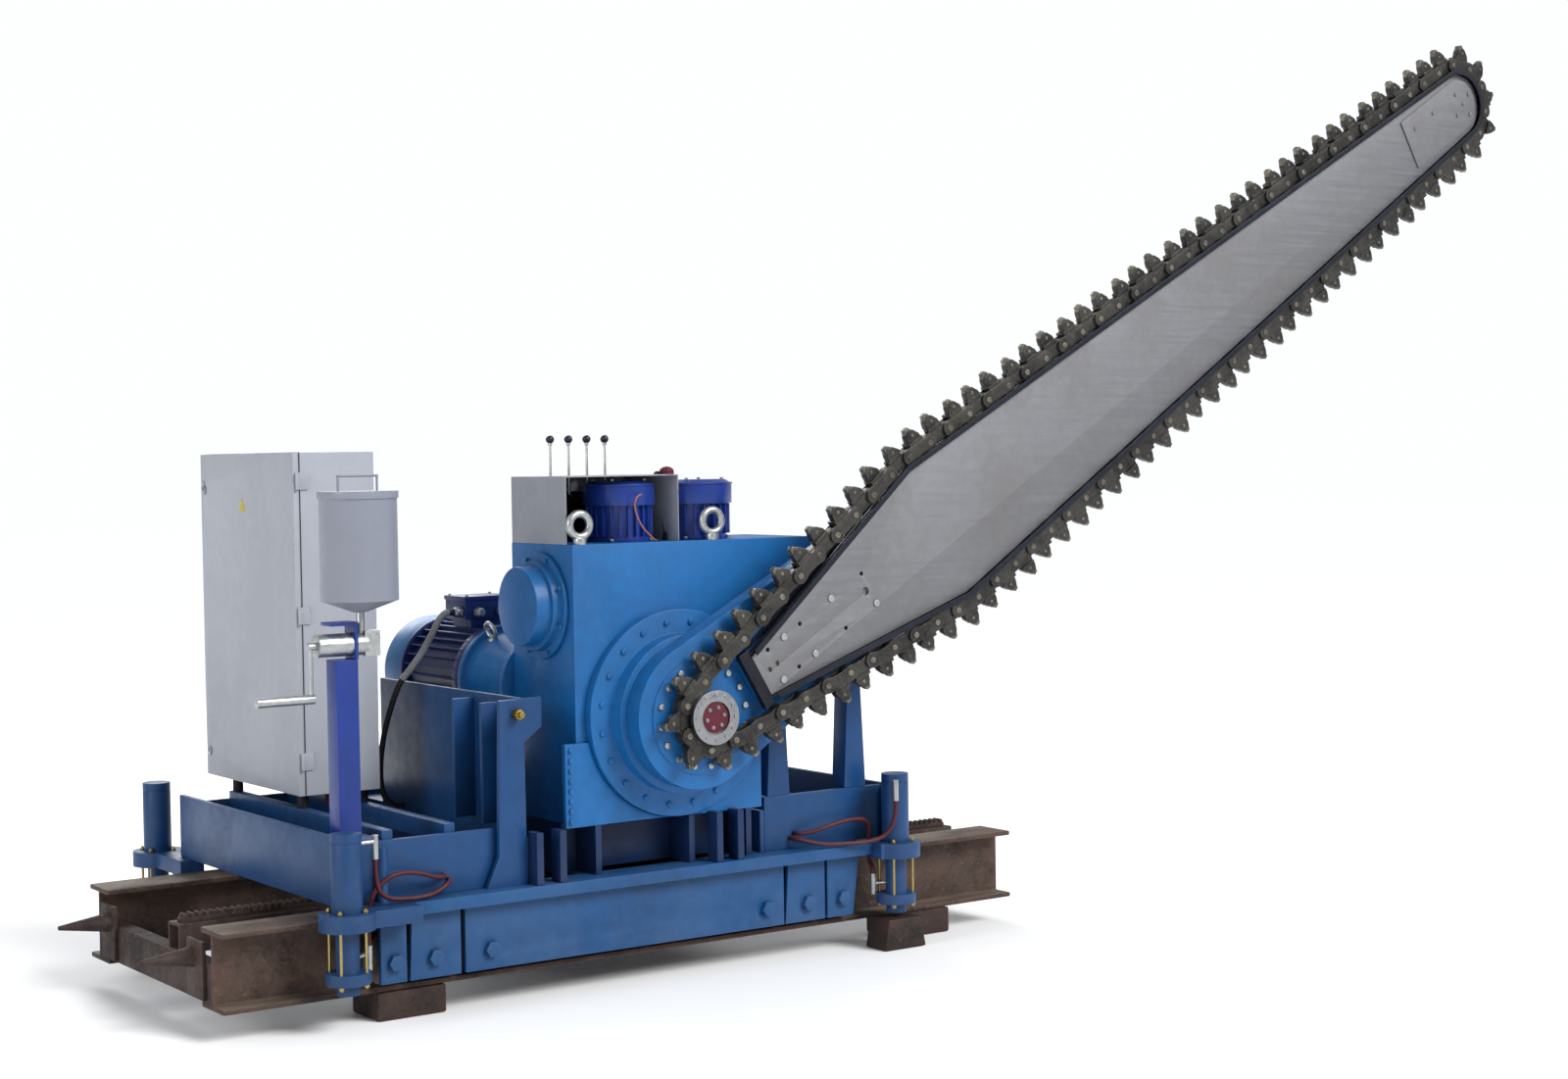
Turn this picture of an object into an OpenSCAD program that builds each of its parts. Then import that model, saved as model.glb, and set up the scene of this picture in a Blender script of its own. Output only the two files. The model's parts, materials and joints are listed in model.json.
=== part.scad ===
// Rail-mounted quarry chain saw: a blue carriage on two I-beam rails, with a slewing cutting arm at its side.
// +X runs along the rails, +Y points to the cabinet side, +Z is up, and Z = 0 is the ground.

/* [Track] */
// Length of both rails
rail_len = 3260; // [2800:20:4200]
// Height of a rail's I section
rail_h = 260; // [240:2:300]
// Width of a rail's flanges
rail_w = 180; // [150:2:200]
// Thickness of a rail's flanges
rail_flange_t = 18; // [12:1:24]
// Thickness of a rail's web
rail_web_t = 12; // [8:1:20]
// Distance of each rail's centre line from the middle of the track
rail_y = 512; // [480:2:560]
// Height of the packing blocks under the rails
block_h = 95; // [60:1:140]
// Module of the rack and its pinion
rack_module = 8; // [6:1:10]

/* [Carriage frame] */
// Left end of the frame
frame_x0 = -1245; // [-1400:5:-1200]
// Right end of the frame
frame_x1 = 1020; // [960:5:1200]
// Height of the deck's upper face above the ground
deck_z = 395; // [390:1:440]
// Height of the left end plate
end_plate_h = 230; // [200:5:260]
// Height of the front and back beams
beam_h = 200; // [160:5:220]
// Thickness of the frame's plates
plate_t = 20; // [12:1:24]
// Distance of the deck's front edge from the middle of the track
deck_y = 695; // [670:5:695]

/* [Track wheels] */
// Diameter of a track wheel
wheel_d = 169.4; // [140:0.2:180]
// Width of a track wheel
wheel_w = 60; // [40:1:64]
// Radius of the wheel axles
axle_r = 20; // [14:1:26]

/* [Gearbox] */
// Height of the gearbox above its pedestal
gearbox_h = 975; // [900:5:1050]
// Depth of the gearbox
gearbox_d = 430; // [400:5:470]
// Left face of the gearbox
gearbox_x0 = -327; // [-360:1:-310]
// Wall of the gearbox
gearbox_wall = 20; // [12:1:24]
// Sideways place of the slewing axis
hub_x = 76; // [60:1:90]
// Height of the slewing axis above the ground
hub_z = 936; // [900:1:970]
// Radius of the slewing ring's flange
ring_r = 367; // [330:1:380]
// Radius of the hollow slewing shaft
sleeve_r = 150; // [110:1:160]
// Radius of the drive shaft
shaft_r = 57; // [40:1:64]

/* [Main motor] */
// Radius of the fan cowl
motor_r = 204; // [180:1:215]
// Length of the finned body
motor_len = 450; // [400:5:520]
// Sideways place of the motor's axis
motor_x = -215; // [-225:1:-200]
// Height of the motor's axis above the ground
motor_z = 1033; // [1020:1:1045]

/* [Arm] */
// Angle of the arm above the horizontal
arm_angle = 31.08; // [0:0.01:60]
// Distance from the slewing axis to the centre of the nose
nose_at = 4630; // [3000:10:4800]
// Distance from the slewing axis to the widest place of the bar
wide_at = 1185; // [1000:5:1400]
// Half of the bar's greatest width
wide_half = 264; // [200:1:300]
// Radius of the bar's nose
nose_r = 131; // [110:1:150]
// Thickness of the bar
bar_t = 28; // [16:1:40]
// Number of chain links
link_count = 94; // [60:2:110]
// Radius of the chain's pitch circle on the sprocket
sprocket_r = 115; // [110:1:120]
// Width of the chain over its side plates
link_w = 50; // [44:1:52]

/* [Jacks] */
// Stroke of a jack
jack_stroke = 125; // [60:5:125]
// Radius of a jack's upper barrel
jack_r = 51; // [44:1:53]
// Radius of a jack's rod
jack_rod_r = 30; // [20:1:32]
// Height of a jack above the deck
jack_top_h = 255; // [200:5:300]

/* [Cabinet and console] */
// Height of the switch cabinet
cabinet_h = 1200; // [1000:10:1400]
// Width of the switch cabinet
cabinet_w = 836; // [700:2:860]
// Depth of the switch cabinet
cabinet_d = 307; // [250:1:320]
// Height of the control console's hood
hood_h = 237; // [236:1:260]

/* [Grease pump] */
// Radius of the grease reservoir
reservoir_r = 128; // [100:1:135]
// Height of the grease reservoir's drum
reservoir_h = 350; // [250:5:400]
// Length of the crank arm
crank_len = 172; // [120:1:180]

/* [Hidden] */
$fn = 48;
weld_gap = 0.2;
seat_gap = 0.3;
run_gap = 0.06;
cut = 1;

rail_z0 = block_h;
rail_top = rail_z0 + rail_h;
flange_top = rail_z0 + rail_flange_t;
rail_inner = rail_y - rail_web_t / 2;
rail_outer = rail_y + rail_web_t / 2;
block_xs = [-975, 1185];
block_size = [250, 200];
jack_block_h = 115;
tie_w = 60;
tie_top = flange_top + 127;
rack_y = -193.5;
rack_beam_w = 95;
rack_beam_h = 92;
rack_w = 50;
rack_pitch = PI * rack_module;
rack_base = tie_top + weld_gap + rack_beam_h;
rack_root = 13;
rack_line_z = rack_base + rack_root + 1.1 * rack_module;
rack_teeth = floor((rail_len - 40) / rack_pitch);

pinion_teeth = 18;
pinion_r = pinion_teeth * rack_module / 2;
pinion_x = rack_pitch * 24;
pinion_z = rack_line_z + pinion_r;
pinion_shaft_r = 18;

deck_t = 12;
lip_h = 42;
lip_t = 20;
deck_inner = 560;
deck_x0 = -1000;
deck_x1 = 880;
beam_y = 580;
back_y = 720;
skirt_y = 630;
skirt_z0 = 130;
wheel_r = wheel_d / 2;
wheel_z = flange_top + wheel_r + seat_gap;
wheel_y = 560;
wheel_xs = [-1054, 773];
bolt_xs = [-1054, -908, -698, 431, 615, 773];
skirt_top = deck_z - deck_t - weld_gap;
// Each skirt plate: left end, right end, flare of its left foot, slant of its right edge, height of its top
skirts_at = [[-1105, -1012, 0, 0, deck_z - 55 - weld_gap], [-990, -812, 10, 0, skirt_top],
    [-795, 507, 0, 0, skirt_top], [530, 692, 16, 0, skirt_top], [704, 855, 0, 34, skirt_top]];
cross_xs = [-530, 450];
cross_z1 = deck_z + 153;
cabinet_rail_xs = [-1040, -810];
cabinet_rail_w = 40;
mount_h = 50;
frame_top = deck_z + end_plate_h;

gearbox_z0 = deck_z + 171;
gearbox_z1 = gearbox_z0 + gearbox_h;
gearbox_y0 = -600;
gearbox_y1 = gearbox_y0 + gearbox_d;
gearbox_x1 = 435;
gearbox_top_x1 = 690;
pedestal_y0 = -480;
bearer_z0 = 370;
ring_t = 40;
inner_ring_r = 282;
inner_ring_t = 60;
ring_face = gearbox_y0 - ring_t - inner_ring_t;
slew_gap = 1;
holder_back = ring_face - slew_gap;
holder_front = holder_back - 79;
cover_t = 8;
cover_r = 205;
cover_bolts = 16;
cover_bolt_r = 178;
chain_y = -830;
hub_face = chain_y - 43;
bar_front = chain_y - bar_t / 2;
bar_back = chain_y + bar_t / 2;
wheel_front = -420;
wheel_back = -345;
worm_wheel_r = 330;
worm_y = -382;
worm_z = 1324;
worm_gap = 1.5;
worm_r = worm_z - hub_z - worm_wheel_r - worm_gap;
gear_front = -262;
gear_back = -202;
gear_count = 60;
input_count = 20;
gear_module = 2 * norm([motor_x - hub_x, motor_z - hub_z]) / (gear_count + input_count);
gear_turn = atan2(motor_z - hub_z, motor_x - hub_x);

bell_front = gearbox_y1;
motor_front = 110;
motor_back = motor_front + motor_len;
motor_shaft_r = 30;
cowl_len = 130;
fan_r = 165;
box_y = 300;

root_at = 250;
root_half = 79;
guide_out = 14;
link_end_r = 30;
link_inner = 18;
edge_off = guide_out + link_end_r + 0.5;
holder_r = 258;
holder_end = 900;
pin_r = 9;
bolt_rows = [320, 401, 484, 646, 808];
row_half = 64;

jack_xs = [-1250, 978];
jack_front = -710;
jack_back = 935;
jack_places = [[-1250, jack_front], [978, jack_front], [-1250, jack_back], [978, jack_back]];
clamp_h = 55;
clamp_r = 92;
clamp_z0 = deck_z - clamp_h;
peg_y = -622;
rod_place = 44;
rod_r = 5;
head_z0 = 166;
head_z1 = 203;
head_r = 74;
lower_r = 38.5;
foot_z = 130;
foot_r = 37.5;

cabinet_x0 = -1077;
cabinet_y0 = 24;
cabinet_z0 = frame_top + mount_h;
door_t = 22;
hinge_r = 6;
shell_t = 4;
hood_x1 = 140;
hood_y = [-556, -172];
hood_t = 4;
pump_motors_at = [[-24, 128], [292, 142]];
pump_motor_y = -415;
lever_xs = [for (i = [0:3]) -202 + 76 * i];
lever_y = -240;
lever_pivot = gearbox_z1 + 160;
lever_top = gearbox_z1 + 368;

post_x = -1160;
post_y = -520;
post_w = 78;
pad_t = 12;
post_z0 = deck_z + beam_h + pad_t;
post_z1 = post_z0 + 585;
pump_z = post_z1 + 48;
pump_r = 38;
reservoir_x = -1092;
reservoir_z = post_z1 + 191;

// Route of the motor's cable, from its gland over the support plate and down into the frame.
cable_r = 11;
cable_path = [[-352.4, 250, 1272], [-368, 250, 1272], [-384, 250, 1270], [-410, 248, 1246], [-440, 242, 1200], [-490, 234, 1130],
    [-540, 226, 1076], [-580, 222, 1036], [-606, 224, 985], [-624, 236, 920], [-636, 254, 850], [-642, 270, 780],
    [-644, 280, 710], [-640, 284, 650], [-630, 280, 610], [-612, 274, 586], [-590, 272, 574],
    [-575, 271, 571], [-560.8, 271, 571]];
// Routes of the two jack hoses, from the upper valve round a loop on the deck and into the front beam.
hose_r = 8;
hose_paths = [
    [[-1142, -700, 554.8], [-1142, -700, 525], [-1137, -698, 480], [-1122, -694, 442], [-1080, -688, 417],
     [-1010, -680, 409], [-940, -670, 409], [-890, -654, 418], [-852, -638, 434], [-834, -620, 441],
     [-832, -600.4, 441]],
    [[-1142, -640, 265.2], [-1142, -640, 290], [-1142, -640, 340], [-1134, -642, 400], [-1112, -646, 448],
     [-1066, -652, 482], [-1010, -654, 490], [-950, -652, 480], [-905, -646, 464], [-872, -634, 458],
     [-852, -618, 458], [-850, -600.4, 458]],
    [[940, -764, 554.8], [940, -764, 532], [935, -762, 492], [918, -756, 450], [880, -744, 420], [820, -728, 409],
     [740, -708, 409], [670, -688, 412], [620, -664, 422], [586, -642, 432], [571, -620, 435], [570, -600.4, 435]],
    [[900, -672, 277.2], [900, -670, 296], [901, -650, 322], [901, -642, 350], [902, -644, 405], [896, -652, 450],
     [866, -664, 480], [806, -672, 488], [740, -672, 482], [680, -664, 468], [636, -648, 456], [604, -634, 452],
     [591, -618, 452], [590, -600.4, 452]]];

// ---------- helpers ----------
module along_x(len, x = 0) translate([x, 0, 0]) rotate([90, 0, 90]) linear_extrude(len) children();
module along_y(y0, y1) translate([0, y1, 0]) rotate([90, 0, 0]) linear_extrude(y1 - y0) children();
module rod_x(x0, x1, r, y, z) translate([x0, y, z]) rotate([0, 90, 0]) cylinder(h = x1 - x0, r = r);
module rod_y(y0, y1, r, x, z) translate([x, y1, z]) rotate([90, 0, 0]) cylinder(h = y1 - y0, r = r);
module box(x0, x1, y0, y1, z0, z1) translate([x0, y0, z0]) cube([x1 - x0, y1 - y0, z1 - z0]);
module both_sides() for (side = [0, 1]) mirror([0, side, 0]) children();
module on_arm() translate([hub_x, 0, hub_z]) rotate([0, -arm_angle, 0]) children();
module ring(r_out, r_in) difference() { circle(r = r_out); circle(r = r_in); }

function polar(r, a) = [r * cos(a), r * sin(a)];
function involute(base, a) = [base * (cos(a) + a * PI / 180 * sin(a)), base * (sin(a) - a * PI / 180 * cos(a))];
function turned(p, a) = [p[0] * cos(a) - p[1] * sin(a), p[0] * sin(a) + p[1] * cos(a)];
function roll_to(base, r) = sqrt(max(0, pow(r / base, 2) - 1)) * 180 / PI;

// Outline of a spur gear, with involute flanks and a little backlash; a tooth points along +X.
function tooth_side(m, teeth, side, slack) =
    let (pitch_r = m * teeth / 2, base = pitch_r * cos(20), tip = pitch_r + 0.9 * m,
         half = 90 / teeth - slack / pitch_r * 180 / PI + (tan(20) * 180 / PI - 20))
    [for (i = [0:4]) let (r = max(base, pitch_r - 1.05 * m) + i / 4 * (tip - max(base, pitch_r - 1.05 * m)),
        p = involute(base, roll_to(base, r))) turned([p[0], side * p[1]], -side * half)];
function reversed(list) = [for (i = [len(list) - 1:-1:0]) list[i]];
module gear_outline(m, teeth, slack = 0.4) {
    root = m * teeth / 2 - 1.15 * m;
    half_gap = 180 / teeth;
    polygon([for (k = [0:teeth - 1]) for (p = concat([polar(root, -half_gap * 0.72)],
        tooth_side(m, teeth, 1, slack), reversed(tooth_side(m, teeth, -1, slack)), [polar(root, half_gap * 0.72)]))
        turned(p, k * 360 / teeth)]);
}

// Tube swept along a list of points, as one closed polyhedron with flat ends.
function unit(v) = v / norm(v);
function heading(p, i) = unit(p[min(i + 1, len(p) - 1)] - p[max(i - 1, 0)]);
function side_of(d) = unit(cross(d, abs(d[2]) > 0.9 ? [0, 1, 0] : [0, 0, 1]));
function carried(p, i) = i == 0 ? side_of(heading(p, 0)) :
    let (d = heading(p, i), last = carried(p, i - 1)) unit(last - d * (last * d));
function tube_ring(p, i, r, sides) = let (d = heading(p, i), u = carried(p, i), v = cross(d, u))
    [for (k = [0:sides - 1]) p[i] + r * (cos(360 * k / sides) * u + sin(360 * k / sides) * v)];
function blend4(a, b, c, d, t) = 0.5 * (2 * b + (c - a) * t + (2 * a - 5 * b + 4 * c - d) * t * t
    + (3 * b - a - 3 * c + d) * t * t * t);
function smooth_path(p, n) = concat([for (i = [0:len(p) - 2]) for (k = [0:n - 1])
    blend4(p[max(i - 1, 0)], p[i], p[i + 1], p[min(i + 2, len(p) - 1)], k / n)], [p[len(p) - 1]]);
module tube(points, r, sides = 8) {
    path = smooth_path(points, 2);
    n = len(path);
    polyhedron([for (i = [0:n - 1]) each tube_ring(path, i, r, sides)],
        concat([[for (k = [0:sides - 1]) k]], [for (i = [0:n - 2]) for (k = [0:sides - 1])
            let (a = i * sides + k, b = i * sides + (k + 1) % sides) [a, a + sides, b + sides, b]],
            [[for (k = [sides - 1:-1:0]) (n - 1) * sides + k]]));
}

// ---------- track ----------
module rail_section(y) translate([y, 0]) {
    translate([-rail_w / 2, rail_z0]) square([rail_w, rail_flange_t]);
    translate([-rail_web_t / 2, rail_z0]) square([rail_web_t, rail_h]);
    translate([-rail_w / 2, rail_top - rail_flange_t]) square([rail_w, rail_flange_t]);
}
module rails() color("#4a3a30") for (side = [-1, 1])
    along_x(rail_len, -rail_len / 2) rail_section(side * rail_y);

module cross_ties() color("#4d3b30") for (x = [-rail_len / 2 + 2, -tie_w / 2, rail_len / 2 - tie_w - 2])
    difference() {
        box(x, x + tie_w, -rail_inner + weld_gap, rail_inner - weld_gap, flange_top + weld_gap, tie_top);
        box(x + 10, x + tie_w + cut, -rail_y, rail_y, flange_top + 12, tie_top - 12);
    }

module rack_outline() {
    tooth_half = rack_pitch / 4 - 0.4;
    lean = rack_module * tan(20);
    base = rack_root;
    line = rack_line_z - rack_base;
    polygon(concat([[-rack_teeth * rack_pitch / 2, 0]],
        [for (k = [0:rack_teeth - 1]) let (x = (k - (rack_teeth - 1) / 2) * rack_pitch)
            each [[x - rack_pitch / 2, base], [x - tooth_half - lean, base + 1], [x - tooth_half + lean * 0.85,
                line + 0.85 * rack_module], [x + tooth_half - lean * 0.85, line + 0.85 * rack_module],
                [x + tooth_half + lean, base + 1]]],
        [[rack_teeth * rack_pitch / 2, base], [rack_teeth * rack_pitch / 2, 0]]));
}
module rack_beam() color("#3b302b") {
    difference() {
        box(-rail_len / 2, rail_len / 2, rack_y - rack_beam_w / 2, rack_y + rack_beam_w / 2,
            tie_top + weld_gap, rack_base - weld_gap);
        box(-rail_len / 2 - cut, rail_len / 2 + cut, rack_y - rack_beam_w / 2 + 8, rack_y + rack_beam_w / 2 - 8,
            tie_top + 8, rack_base - 8);
    }
    translate([0, 0, rack_base]) along_y(rack_y - rack_w / 2, rack_y + rack_w / 2) rack_outline();
}

module packing_blocks() color("#3a2c25") {
    for (x = block_xs, side = [-1, 1])
        translate([x - block_size[0] / 2, side * rail_y - block_size[1] / 2, 0])
            cube([block_size[0], block_size[1], block_h - weld_gap]);
    translate([jack_xs[1], jack_front, 0]) rotate([90, 0, 0]) translate([0, 0, -62]) linear_extrude(124)
        polygon([[-100, 0], [92, 0], [68, jack_block_h], [-80, jack_block_h]]);
}

cone_len = 180;
cone_y = 378;
cone_z = 252;
module coupling_cones() color("#7a4a33") for (side = [-1, 1]) {
    translate([-rail_len / 2 - 12, side * cone_y, cone_z]) rotate([0, -90, 0])
        cylinder(h = cone_len, r1 = 34, r2 = 7);
    box(-rail_len / 2 - 12, -rail_len / 2 + 2 - weld_gap, side * (cone_y + 20) - 66, side * (cone_y + 20) + 66,
        flange_top + 8, cone_z + 58);
}

// ---------- carriage frame ----------
inner_x0 = frame_x0 + plate_t + weld_gap;
inner_x1 = frame_x1 - plate_t - weld_gap;
beam_z1 = deck_z + beam_h;
stand_x = [480, 830];
stand_z = 1000;
module end_plates() {
    box(frame_x0, frame_x0 + plate_t, -640, back_y, deck_z + weld_gap, frame_top);
    box(frame_x1 - plate_t, frame_x1, -640, back_y, deck_z + weld_gap, beam_z1 + 5);
}
module frame_beams() {
    left_end = cross_xs[0] - 1.5 * plate_t - 2 * weld_gap;
    box(inner_x0, left_end, -beam_y - plate_t, -beam_y, deck_z + weld_gap, beam_z1);
    box(cross_xs[1] + plate_t / 2 + weld_gap, inner_x1, -beam_y - plate_t, -beam_y, deck_z + weld_gap, beam_z1);
    box(inner_x0, inner_x1, back_y - plate_t, back_y, deck_z + weld_gap, beam_z1);
    for (x = cross_xs) box(x - plate_t / 2, x + plate_t / 2, -beam_y - plate_t, back_y - plate_t - weld_gap,
        deck_z + weld_gap, cross_z1);
    for (x = cabinet_rail_xs) box(x - cabinet_rail_w / 2, x + cabinet_rail_w / 2, -beam_y + weld_gap,
        back_y - plate_t - weld_gap, frame_top - 65, frame_top);
}
module motor_deck() box(cross_xs[0] - plate_t / 2, cross_xs[1] + plate_t / 2, gearbox_y1 + 6,
    back_y - plate_t - weld_gap, cross_z1 + weld_gap, cross_z1 + 12);
module post_pad() box(inner_x0, -1080, -beam_y - plate_t, -450, beam_z1 + weld_gap, beam_z1 + pad_t - weld_gap);
hanger_z0 = pinion_z + pinion_r + rack_module + 6;
module pinion_hangers() difference() {
    union() {
        box(pinion_x - 40, pinion_x + 40, -beam_y + weld_gap, back_y - plate_t - weld_gap, hanger_z0, hanger_z0 + 54);
        for (y = [rack_y - 68, rack_y + 44])
            box(pinion_x - 34, pinion_x + 34, y, y + 24, pinion_z - 34, hanger_z0 + cut);
    }
    rod_y(rack_y - 90, rack_y + 90, pinion_shaft_r + seat_gap, pinion_x, pinion_z);
}
module right_stand() {
    for (x = stand_x) along_y(-beam_y - plate_t, -beam_y - plate_t + 80)
        polygon([[x - 4, beam_z1 + weld_gap], [x + 96, beam_z1 + weld_gap], [x + 76, stand_z], [x + 16, stand_z]]);
    along_y(-beam_y - plate_t, -beam_y - plate_t + 80)
        polygon([[stand_x[0] + 40, stand_z + weld_gap], [stand_x[1] + 76, stand_z + weld_gap],
            [stand_x[1] + 76, stand_z + 70], [stand_x[0] + 56, stand_z + 70]]);
}
module motor_stand() for (y = [170, 450]) difference() {
    box(motor_x - 190, motor_x + 190, y, y + 30, cross_z1 + 12 + weld_gap, motor_z - 60);
    rod_y(y - cut, y + 30 + cut, 195 + seat_gap, motor_x, motor_z);
}
module base_frame() color("#1f5f9a") {
    end_plates();
    frame_beams();
    motor_deck();
    motor_stand();
    post_pad();
    pinion_hangers();
    right_stand();
}

module deck_section() polygon([[deck_inner, deck_z], [deck_y, deck_z], [deck_y, deck_z - lip_h],
    [deck_y - lip_t, deck_z - lip_h], [deck_y - lip_t, deck_z - deck_t], [deck_inner, deck_z - deck_t]]);
module deck_plates() color("#2f78b8") both_sides()
    along_x(deck_x1 - deck_x0, deck_x0) deck_section();

module skirt(s) along_y(skirt_y, skirt_y + plate_t)
    polygon([[s[0] - s[2], skirt_z0], [s[1] - s[3], skirt_z0], [s[1], s[4]], [s[0], s[4]]]);
module skirts() color("#2466a3") both_sides() difference() {
    for (s = skirts_at) skirt(s);
    for (x = bolt_xs) rod_y(0, deck_y, axle_r + 0.1, x, wheel_z);
}

bolt_head_r = 29;
module skirt_bolts() color("#2a6aa8") both_sides() for (x = bolt_xs) {
    is_axle = len([for (w = wheel_xs) if (w == x) w]) > 0;
    rod_y(is_axle ? wheel_y - wheel_w / 2 + 6 : skirt_y - 4, skirt_y + plate_t + weld_gap, axle_r, x, wheel_z);
    translate([x, skirt_y + plate_t + weld_gap + 20, wheel_z]) rotate([90, 0, 0])
        cylinder(h = 20, r = bolt_head_r, $fn = 6);
    if (is_axle) rod_y(wheel_y + wheel_w / 2 + 2, skirt_y - weld_gap, axle_r + 12, x, wheel_z);
}

module gearbox_pedestal() color("#1b3d66") {
    difference() {
        box(gearbox_x0 + 4, gearbox_x1 - 6, pedestal_y0, gearbox_y1, deck_z + weld_gap, gearbox_z0 - weld_gap);
        box(gearbox_x0 + 24, gearbox_x1 - 26, pedestal_y0 + 20, gearbox_y1 - 20, deck_z - cut, gearbox_z0 + cut);
    }
    for (x = [gearbox_x0 + 60, 120, gearbox_x1 - 70])
        box(x, x + 24, -deck_y + 75, pedestal_y0 - weld_gap, deck_z + weld_gap, gearbox_z0 - weld_gap);
    for (x = [-536, -446, 196, 286])
        box(x, x + 26, -deck_y + 10, gearbox_y0 - plate_t - 2, deck_z + weld_gap, gearbox_z0 + 8);
    // Cross bearers that carry the pedestal between the two deck plates
    for (x = [-300, 330]) box(x, x + 80, -deck_inner + weld_gap, deck_inner - weld_gap, bearer_z0, deck_z - weld_gap);
}

// ---------- gearbox ----------
function box_outline(t) = [[gearbox_x0 + t, gearbox_z0 + t], [gearbox_x1 - t, gearbox_z0 + t],
    [gearbox_x1 - t, gearbox_z0 + 420], [gearbox_top_x1 - t, gearbox_z1 - 210], [gearbox_top_x1 - t, gearbox_z1 - t],
    [gearbox_x0 + t, gearbox_z1 - t]];
module gearbox_housing() color("#23639f") difference() {
    along_y(gearbox_y0, gearbox_y1) polygon(box_outline(0));
    along_y(gearbox_y0 + gearbox_wall, gearbox_y1 - gearbox_wall) polygon(box_outline(gearbox_wall));
    rod_y(gearbox_y0 - cut, gearbox_y0 + gearbox_wall + cut, sleeve_r + run_gap, hub_x, hub_z);
    rod_y(gearbox_y1 - gearbox_wall - cut, gearbox_y1 + cut, 40 + run_gap, hub_x, hub_z);
    rod_y(gearbox_y1 - gearbox_wall - cut, gearbox_y1 + cut, motor_shaft_r + run_gap, motor_x, motor_z);
    rod_x(gearbox_x0 - cut, gearbox_x0 + gearbox_wall + cut, 25 + run_gap, worm_y, worm_z);
}

plate_x0 = -383;
plate_top = gearbox_z0 + 290;
module front_plate() color("#2d6ba8") {
    difference() {
        box(plate_x0, gearbox_x1, gearbox_y0 - plate_t, gearbox_y0 - weld_gap, gearbox_z0, plate_top);
        rod_y(gearbox_y0 - 2 * plate_t, gearbox_y0 + cut, ring_r + 2, hub_x, hub_z);
    }
    for (i = [0:7]) rod_y(gearbox_y0 - plate_t - 10, gearbox_y0 - plate_t - weld_gap, 9, plate_x0 + 20,
        gearbox_z0 + 24 + i * 35);
}

ring_bolts = 20;
module slewing_ring() color("#2868a6") {
    difference() {
        union() {
            rod_y(gearbox_y0 - ring_t, gearbox_y0 - weld_gap, ring_r, hub_x, hub_z);
            rod_y(ring_face, gearbox_y0 - ring_t + cut, inner_ring_r, hub_x, hub_z);
        }
        rod_y(ring_face - cut, gearbox_y0 + cut, sleeve_r + run_gap, hub_x, hub_z);
    }
    for (i = [0:ring_bolts - 1]) let (a = (i + 0.5) * 360 / ring_bolts)
        rod_y(gearbox_y0 - ring_t - 10, gearbox_y0 - ring_t - weld_gap, 11, hub_x + 325 * cos(a), hub_z + 325 * sin(a));
}

module side_cover() color("#2e72b0") {
    difference() {
        union() {
            rod_x(gearbox_x0 - 18, gearbox_x0 - weld_gap, 189, worm_y, worm_z);
            rod_x(gearbox_x0 - 46, gearbox_x0 - 10, 158, worm_y, worm_z);
            rod_x(gearbox_x0 - 100, gearbox_x0 - 40, 140, worm_y, worm_z);
        }
        rod_x(gearbox_x0 - 60, gearbox_x0 + cut, 25 + run_gap, worm_y, worm_z);
    }
    for (i = [0:7]) let (a = 22.5 + 45 * i)
        rod_x(gearbox_x0 - 28, gearbox_x0 - 18 - weld_gap, 9, worm_y + 174 * cos(a), worm_z + 174 * sin(a));
}

module lifting_eyes() color("#c3c7c0") for (x = [-283, 267]) {
    translate([x, -575, gearbox_z1 + 67]) rotate([90, 0, 0]) rotate_extrude() translate([40, 0]) circle(r = 14);
    translate([x, -575, gearbox_z1 + weld_gap]) cylinder(h = 20, r = 24);
}

ear_x = [-640, -480];
plate_x = cross_xs[0] - plate_t / 2;
module support_plate() color("#1e5590") {
    along_x(plate_t, plate_x - plate_t - weld_gap) polygon([[-612, deck_z + weld_gap], [440, deck_z + weld_gap],
        [440, 1030], [-612, 1030]]);
    difference() {
        along_y(-632, -612 - weld_gap) polygon([[ear_x[0], 1026], [ear_x[1], 1030], [ear_x[1], 930], [-548, 880],
            [-545, deck_z + weld_gap], [-700, deck_z + weld_gap], [-652, 500]]);
        rod_y(-650, -600, 17 + 0.1, -580, 978);
    }
    for (y = [-500, -300])
        box(-640, plate_x - plate_t - 2 * weld_gap, y, y + 16, beam_z1 + weld_gap, 1010);
}
module brass_plug() color("#b59a45") {
    rod_y(-664, -612, 17, -580, 978);
    rod_y(-680, -664, 11, -580, 978);
}

// ---------- main motor ----------
module motor_bell() color("#2a6eae") difference() {
    translate([motor_x, 0, motor_z]) rotate([90, 0, 0]) {
        translate([0, 0, -bell_front - 26]) cylinder(h = 26 - weld_gap, r = 160);
        translate([0, 0, -motor_front + weld_gap]) cylinder(h = 30, r = 195);
        translate([0, 0, -motor_front + 20]) cylinder(h = motor_front - bell_front - 40, r1 = 175, r2 = 140);
    }
    rod_y(bell_front - cut, motor_front + cut, 110, motor_x, motor_z);
}
fins = 32;
module motor_body() color("#28479c") difference() {
    union() {
        rod_y(motor_front, motor_back, 172, motor_x, motor_z);
        rod_y(motor_front, motor_front + 40, 195, motor_x, motor_z);
        rod_y(motor_back - 14, motor_back, motor_r, motor_x, motor_z);
        for (i = [0:fins - 1]) translate([motor_x, 0, motor_z]) rotate([0, i * 360 / fins, 0])
            box(160, 195, motor_front + 10, motor_back - 10, -3, 3);
        box(motor_x - 70, motor_x + 70, box_y - 70, box_y + 70, motor_z + 150, motor_z + 212 - weld_gap);
    }
    rod_y(motor_front - cut, motor_back + cut, motor_shaft_r + run_gap, motor_x, motor_z);
}
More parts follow.
